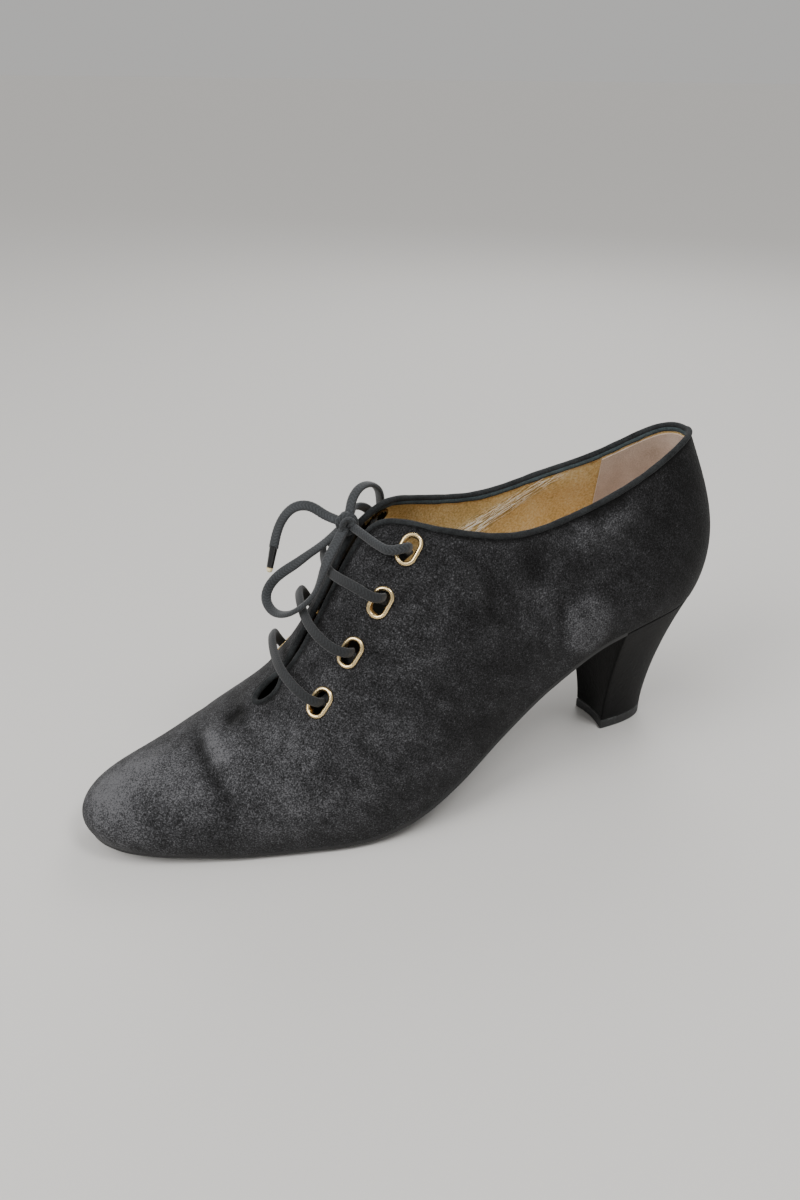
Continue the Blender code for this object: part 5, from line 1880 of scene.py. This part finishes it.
    def stub(self, route: Points, edge: Points) -> Sheet:
        """Return the hidden start of a lace, from its first point into the middle of the knot.

        Args:
            route: The lace's route.
            edge: Direction to its edge at the start.

        Returns:
            The hidden stretch.
        """
        first, overlap = route[0], route[self.stub_start]
        way = unit(first - overlap)
        middle = np.array(self.knot_centre)
        points = [overlap, first, first + self.stub_reach * way,
                  (first + 2 * middle) / 3 + self.stub_bow * way, middle]
        return self.tube(smooth_route(points, self.step), edge, 0.0, self.width - self.stub_play,
                         self.thickness - self.stub_play)

    def build_aglet(self, number: int, route: Points) -> Piece:
        """Return the sheath on the tip of an end, a tapered tube with a rounded point.

        Args:
            number: Number of the end.
            route: The end's route.

        Returns:
            The sheath.
        """
        way = unit(route[-1] - route[-2])
        across = unit(np.cross(way, (0.0, 0.0, 1.0)))
        up = np.cross(across, way)
        turn = np.linspace(0, 2 * math.pi, self.aglet_steps, endpoint=False)
        circle = self.aglet_radius * (np.cos(turn)[:, None] * across + np.sin(turn)[:, None] * up)
        rings = [route[-1] + way * at + size * circle for at, size in self.aglet_shape]
        sheet = Sheet.grid(rings, closed=True, capped=True)
        sheet.tones["rubbed"] = np.repeat([float(at > self.rubbed_from) for at, _ in self.aglet_shape], len(turn))
        return make_piece(f"aglet_{number}_sheath", sheet, AGLET_SHEATH, [f"aglet_{number}"])

    def build_knot(self) -> Piece:
        """Return the knot: turns wrapped round the hidden starts of loop and ends.

        Returns:
            The knot.
        """
        normal = unit(self.knot_normal)
        across = np.array([0.0, 1.0, 0.0])
        along = np.cross(normal, across)
        centre = np.array(self.knot_centre)
        share = np.linspace(0, 1, self.knot_samples)
        turn = 2 * math.pi * self.knot_turns * share - self.knot_phase
        girth = self.knot_core + self.knot_girth * ease(np.minimum(share, 1 - share) / self.knot_taper)
        wrap = (centre + girth[:, None] * (np.cos(turn)[:, None] * normal + np.sin(turn)[:, None] * along)
                + ((share - 0.5) * self.knot_length)[:, None] * across)
        knot = self.tube(wrap, across, self.knot_wave * np.sin(turn), self.knot_width, self.knot_thickness)
        return make_piece("lace_knot_braid", knot.joined(*self.stubs), LACE_COTTON, ["lace_knot"])


@dataclass(frozen=True)
class Softbox:
    """One soft light of the studio."""

    name: str
    place: Point
    target: Point
    size: float
    power: float
    colour: str = "#ffffff"

    def build(self) -> None:
        """Hang the light and point it at its target."""
        lamp = bpy.data.lights.new(self.name, "AREA")
        lamp.shape, lamp.size, lamp.energy = "DISK", self.size, self.power
        lamp.color = linear(self.colour)[:3]
        item = bpy.data.objects.new(self.name, lamp)
        way = Vector(self.target) - Vector(self.place)
        item.matrix_world = Matrix.Translation(self.place) @ way.to_track_quat("-Z", "Y").to_matrix().to_4x4()
        bpy.context.scene.collection.objects.link(item)


@dataclass
class Studio:
    """Camera, floor and soft light, in metres of the shared frame."""

    camera_place: Point = (0.12801353, 0.27773713, 0.23584283)
    yaw: float = -1.9854
    pitch: float = -0.4911
    roll: float = 0.0137
    lens: float = 29.5695
    sensor: float = 36.0
    near: float = 0.01
    floor_half: float = 40.0
    surround: str = "#e3e2e0"
    surround_strength: float = 0.66
    daylight: float = 1.4
    daylight_spread: float = 50.0
    daylight_tilt: Point = (-8.0, 34.0, 0.0)
    boxes: tuple[Softbox, ...] = (
        Softbox("toe_softbox", (0.85, 0.30, 0.75), (0.05, 0.0, 0.05), 0.6, 7.0),
        Softbox("collar_softbox", (-0.18, 0.42, 0.80), (-0.04, -0.02, 0.09), 0.3, 3.6),
        Softbox("back_softbox", (-0.55, -0.7, 0.8), (0.0, 0.0, 0.08), 0.6, 4.0))

    def build_camera(self) -> None:
        """Set the camera at the photo's angle."""
        forward = Vector((math.cos(self.yaw) * math.cos(self.pitch), math.sin(self.yaw) * math.cos(self.pitch),
                          math.sin(self.pitch)))
        right = forward.cross(Vector((0, 0, 1))).normalized()
        up = right.cross(forward)
        across = math.cos(self.roll) * right + math.sin(self.roll) * up
        upright = -math.sin(self.roll) * right + math.cos(self.roll) * up
        turn = Matrix((across, upright, -forward)).transposed().to_4x4()
        lens = bpy.data.cameras.new("photo_camera")
        lens.sensor_fit, lens.sensor_height, lens.lens = "VERTICAL", self.sensor, self.lens
        lens.clip_start, lens.dof.use_dof = self.near, False
        camera = bpy.data.objects.new("photo_camera", lens)
        camera.matrix_world = Matrix.Translation(self.camera_place) @ turn
        bpy.context.scene.collection.objects.link(camera)
        bpy.context.scene.camera = camera

    def build(self) -> None:
        """Lay the floor and hang the lights."""
        mesh = bpy.data.meshes.new("studio_floor")
        half = self.floor_half
        mesh.from_pydata([(-half, -half, 0), (half, -half, 0), (half, half, 0), (-half, half, 0)], [], [(0, 1, 2, 3)])
        mesh.materials.append(FLOOR_PAINT.material())
        floor = bpy.data.objects.new("studio_floor", mesh)
        bpy.context.scene.collection.objects.link(floor)
        world = bpy.data.worlds.new("studio_surround")
        world.use_nodes = True
        background = world.node_tree.nodes["Background"]
        background.inputs["Color"].default_value = linear(self.surround)
        background.inputs["Strength"].default_value = self.surround_strength
        bpy.context.scene.world = world
        lamp = bpy.data.lights.new("overhead_light", "SUN")
        lamp.energy, lamp.angle = self.daylight, math.radians(self.daylight_spread)
        overhead = bpy.data.objects.new("overhead_light", lamp)
        overhead.rotation_euler = [math.radians(angle) for angle in self.daylight_tilt]
        bpy.context.scene.collection.objects.link(overhead)
        for box in self.boxes:
            box.build()


def main() -> None:
    """Build the shoe's sub-assemblies in order, then the studio round them."""
    logging.basicConfig(level=logging.INFO, format="%(message)s")
    studio = Studio()
    studio.build_camera()
    for assembly in (Lacing(), Upper(), CollarBinding(), Bottom(), Eyelets()):
        LOG.info("%s", type(assembly).__name__)
        assembly.build()
    studio.build()


if __name__ == "__main__":
    main()
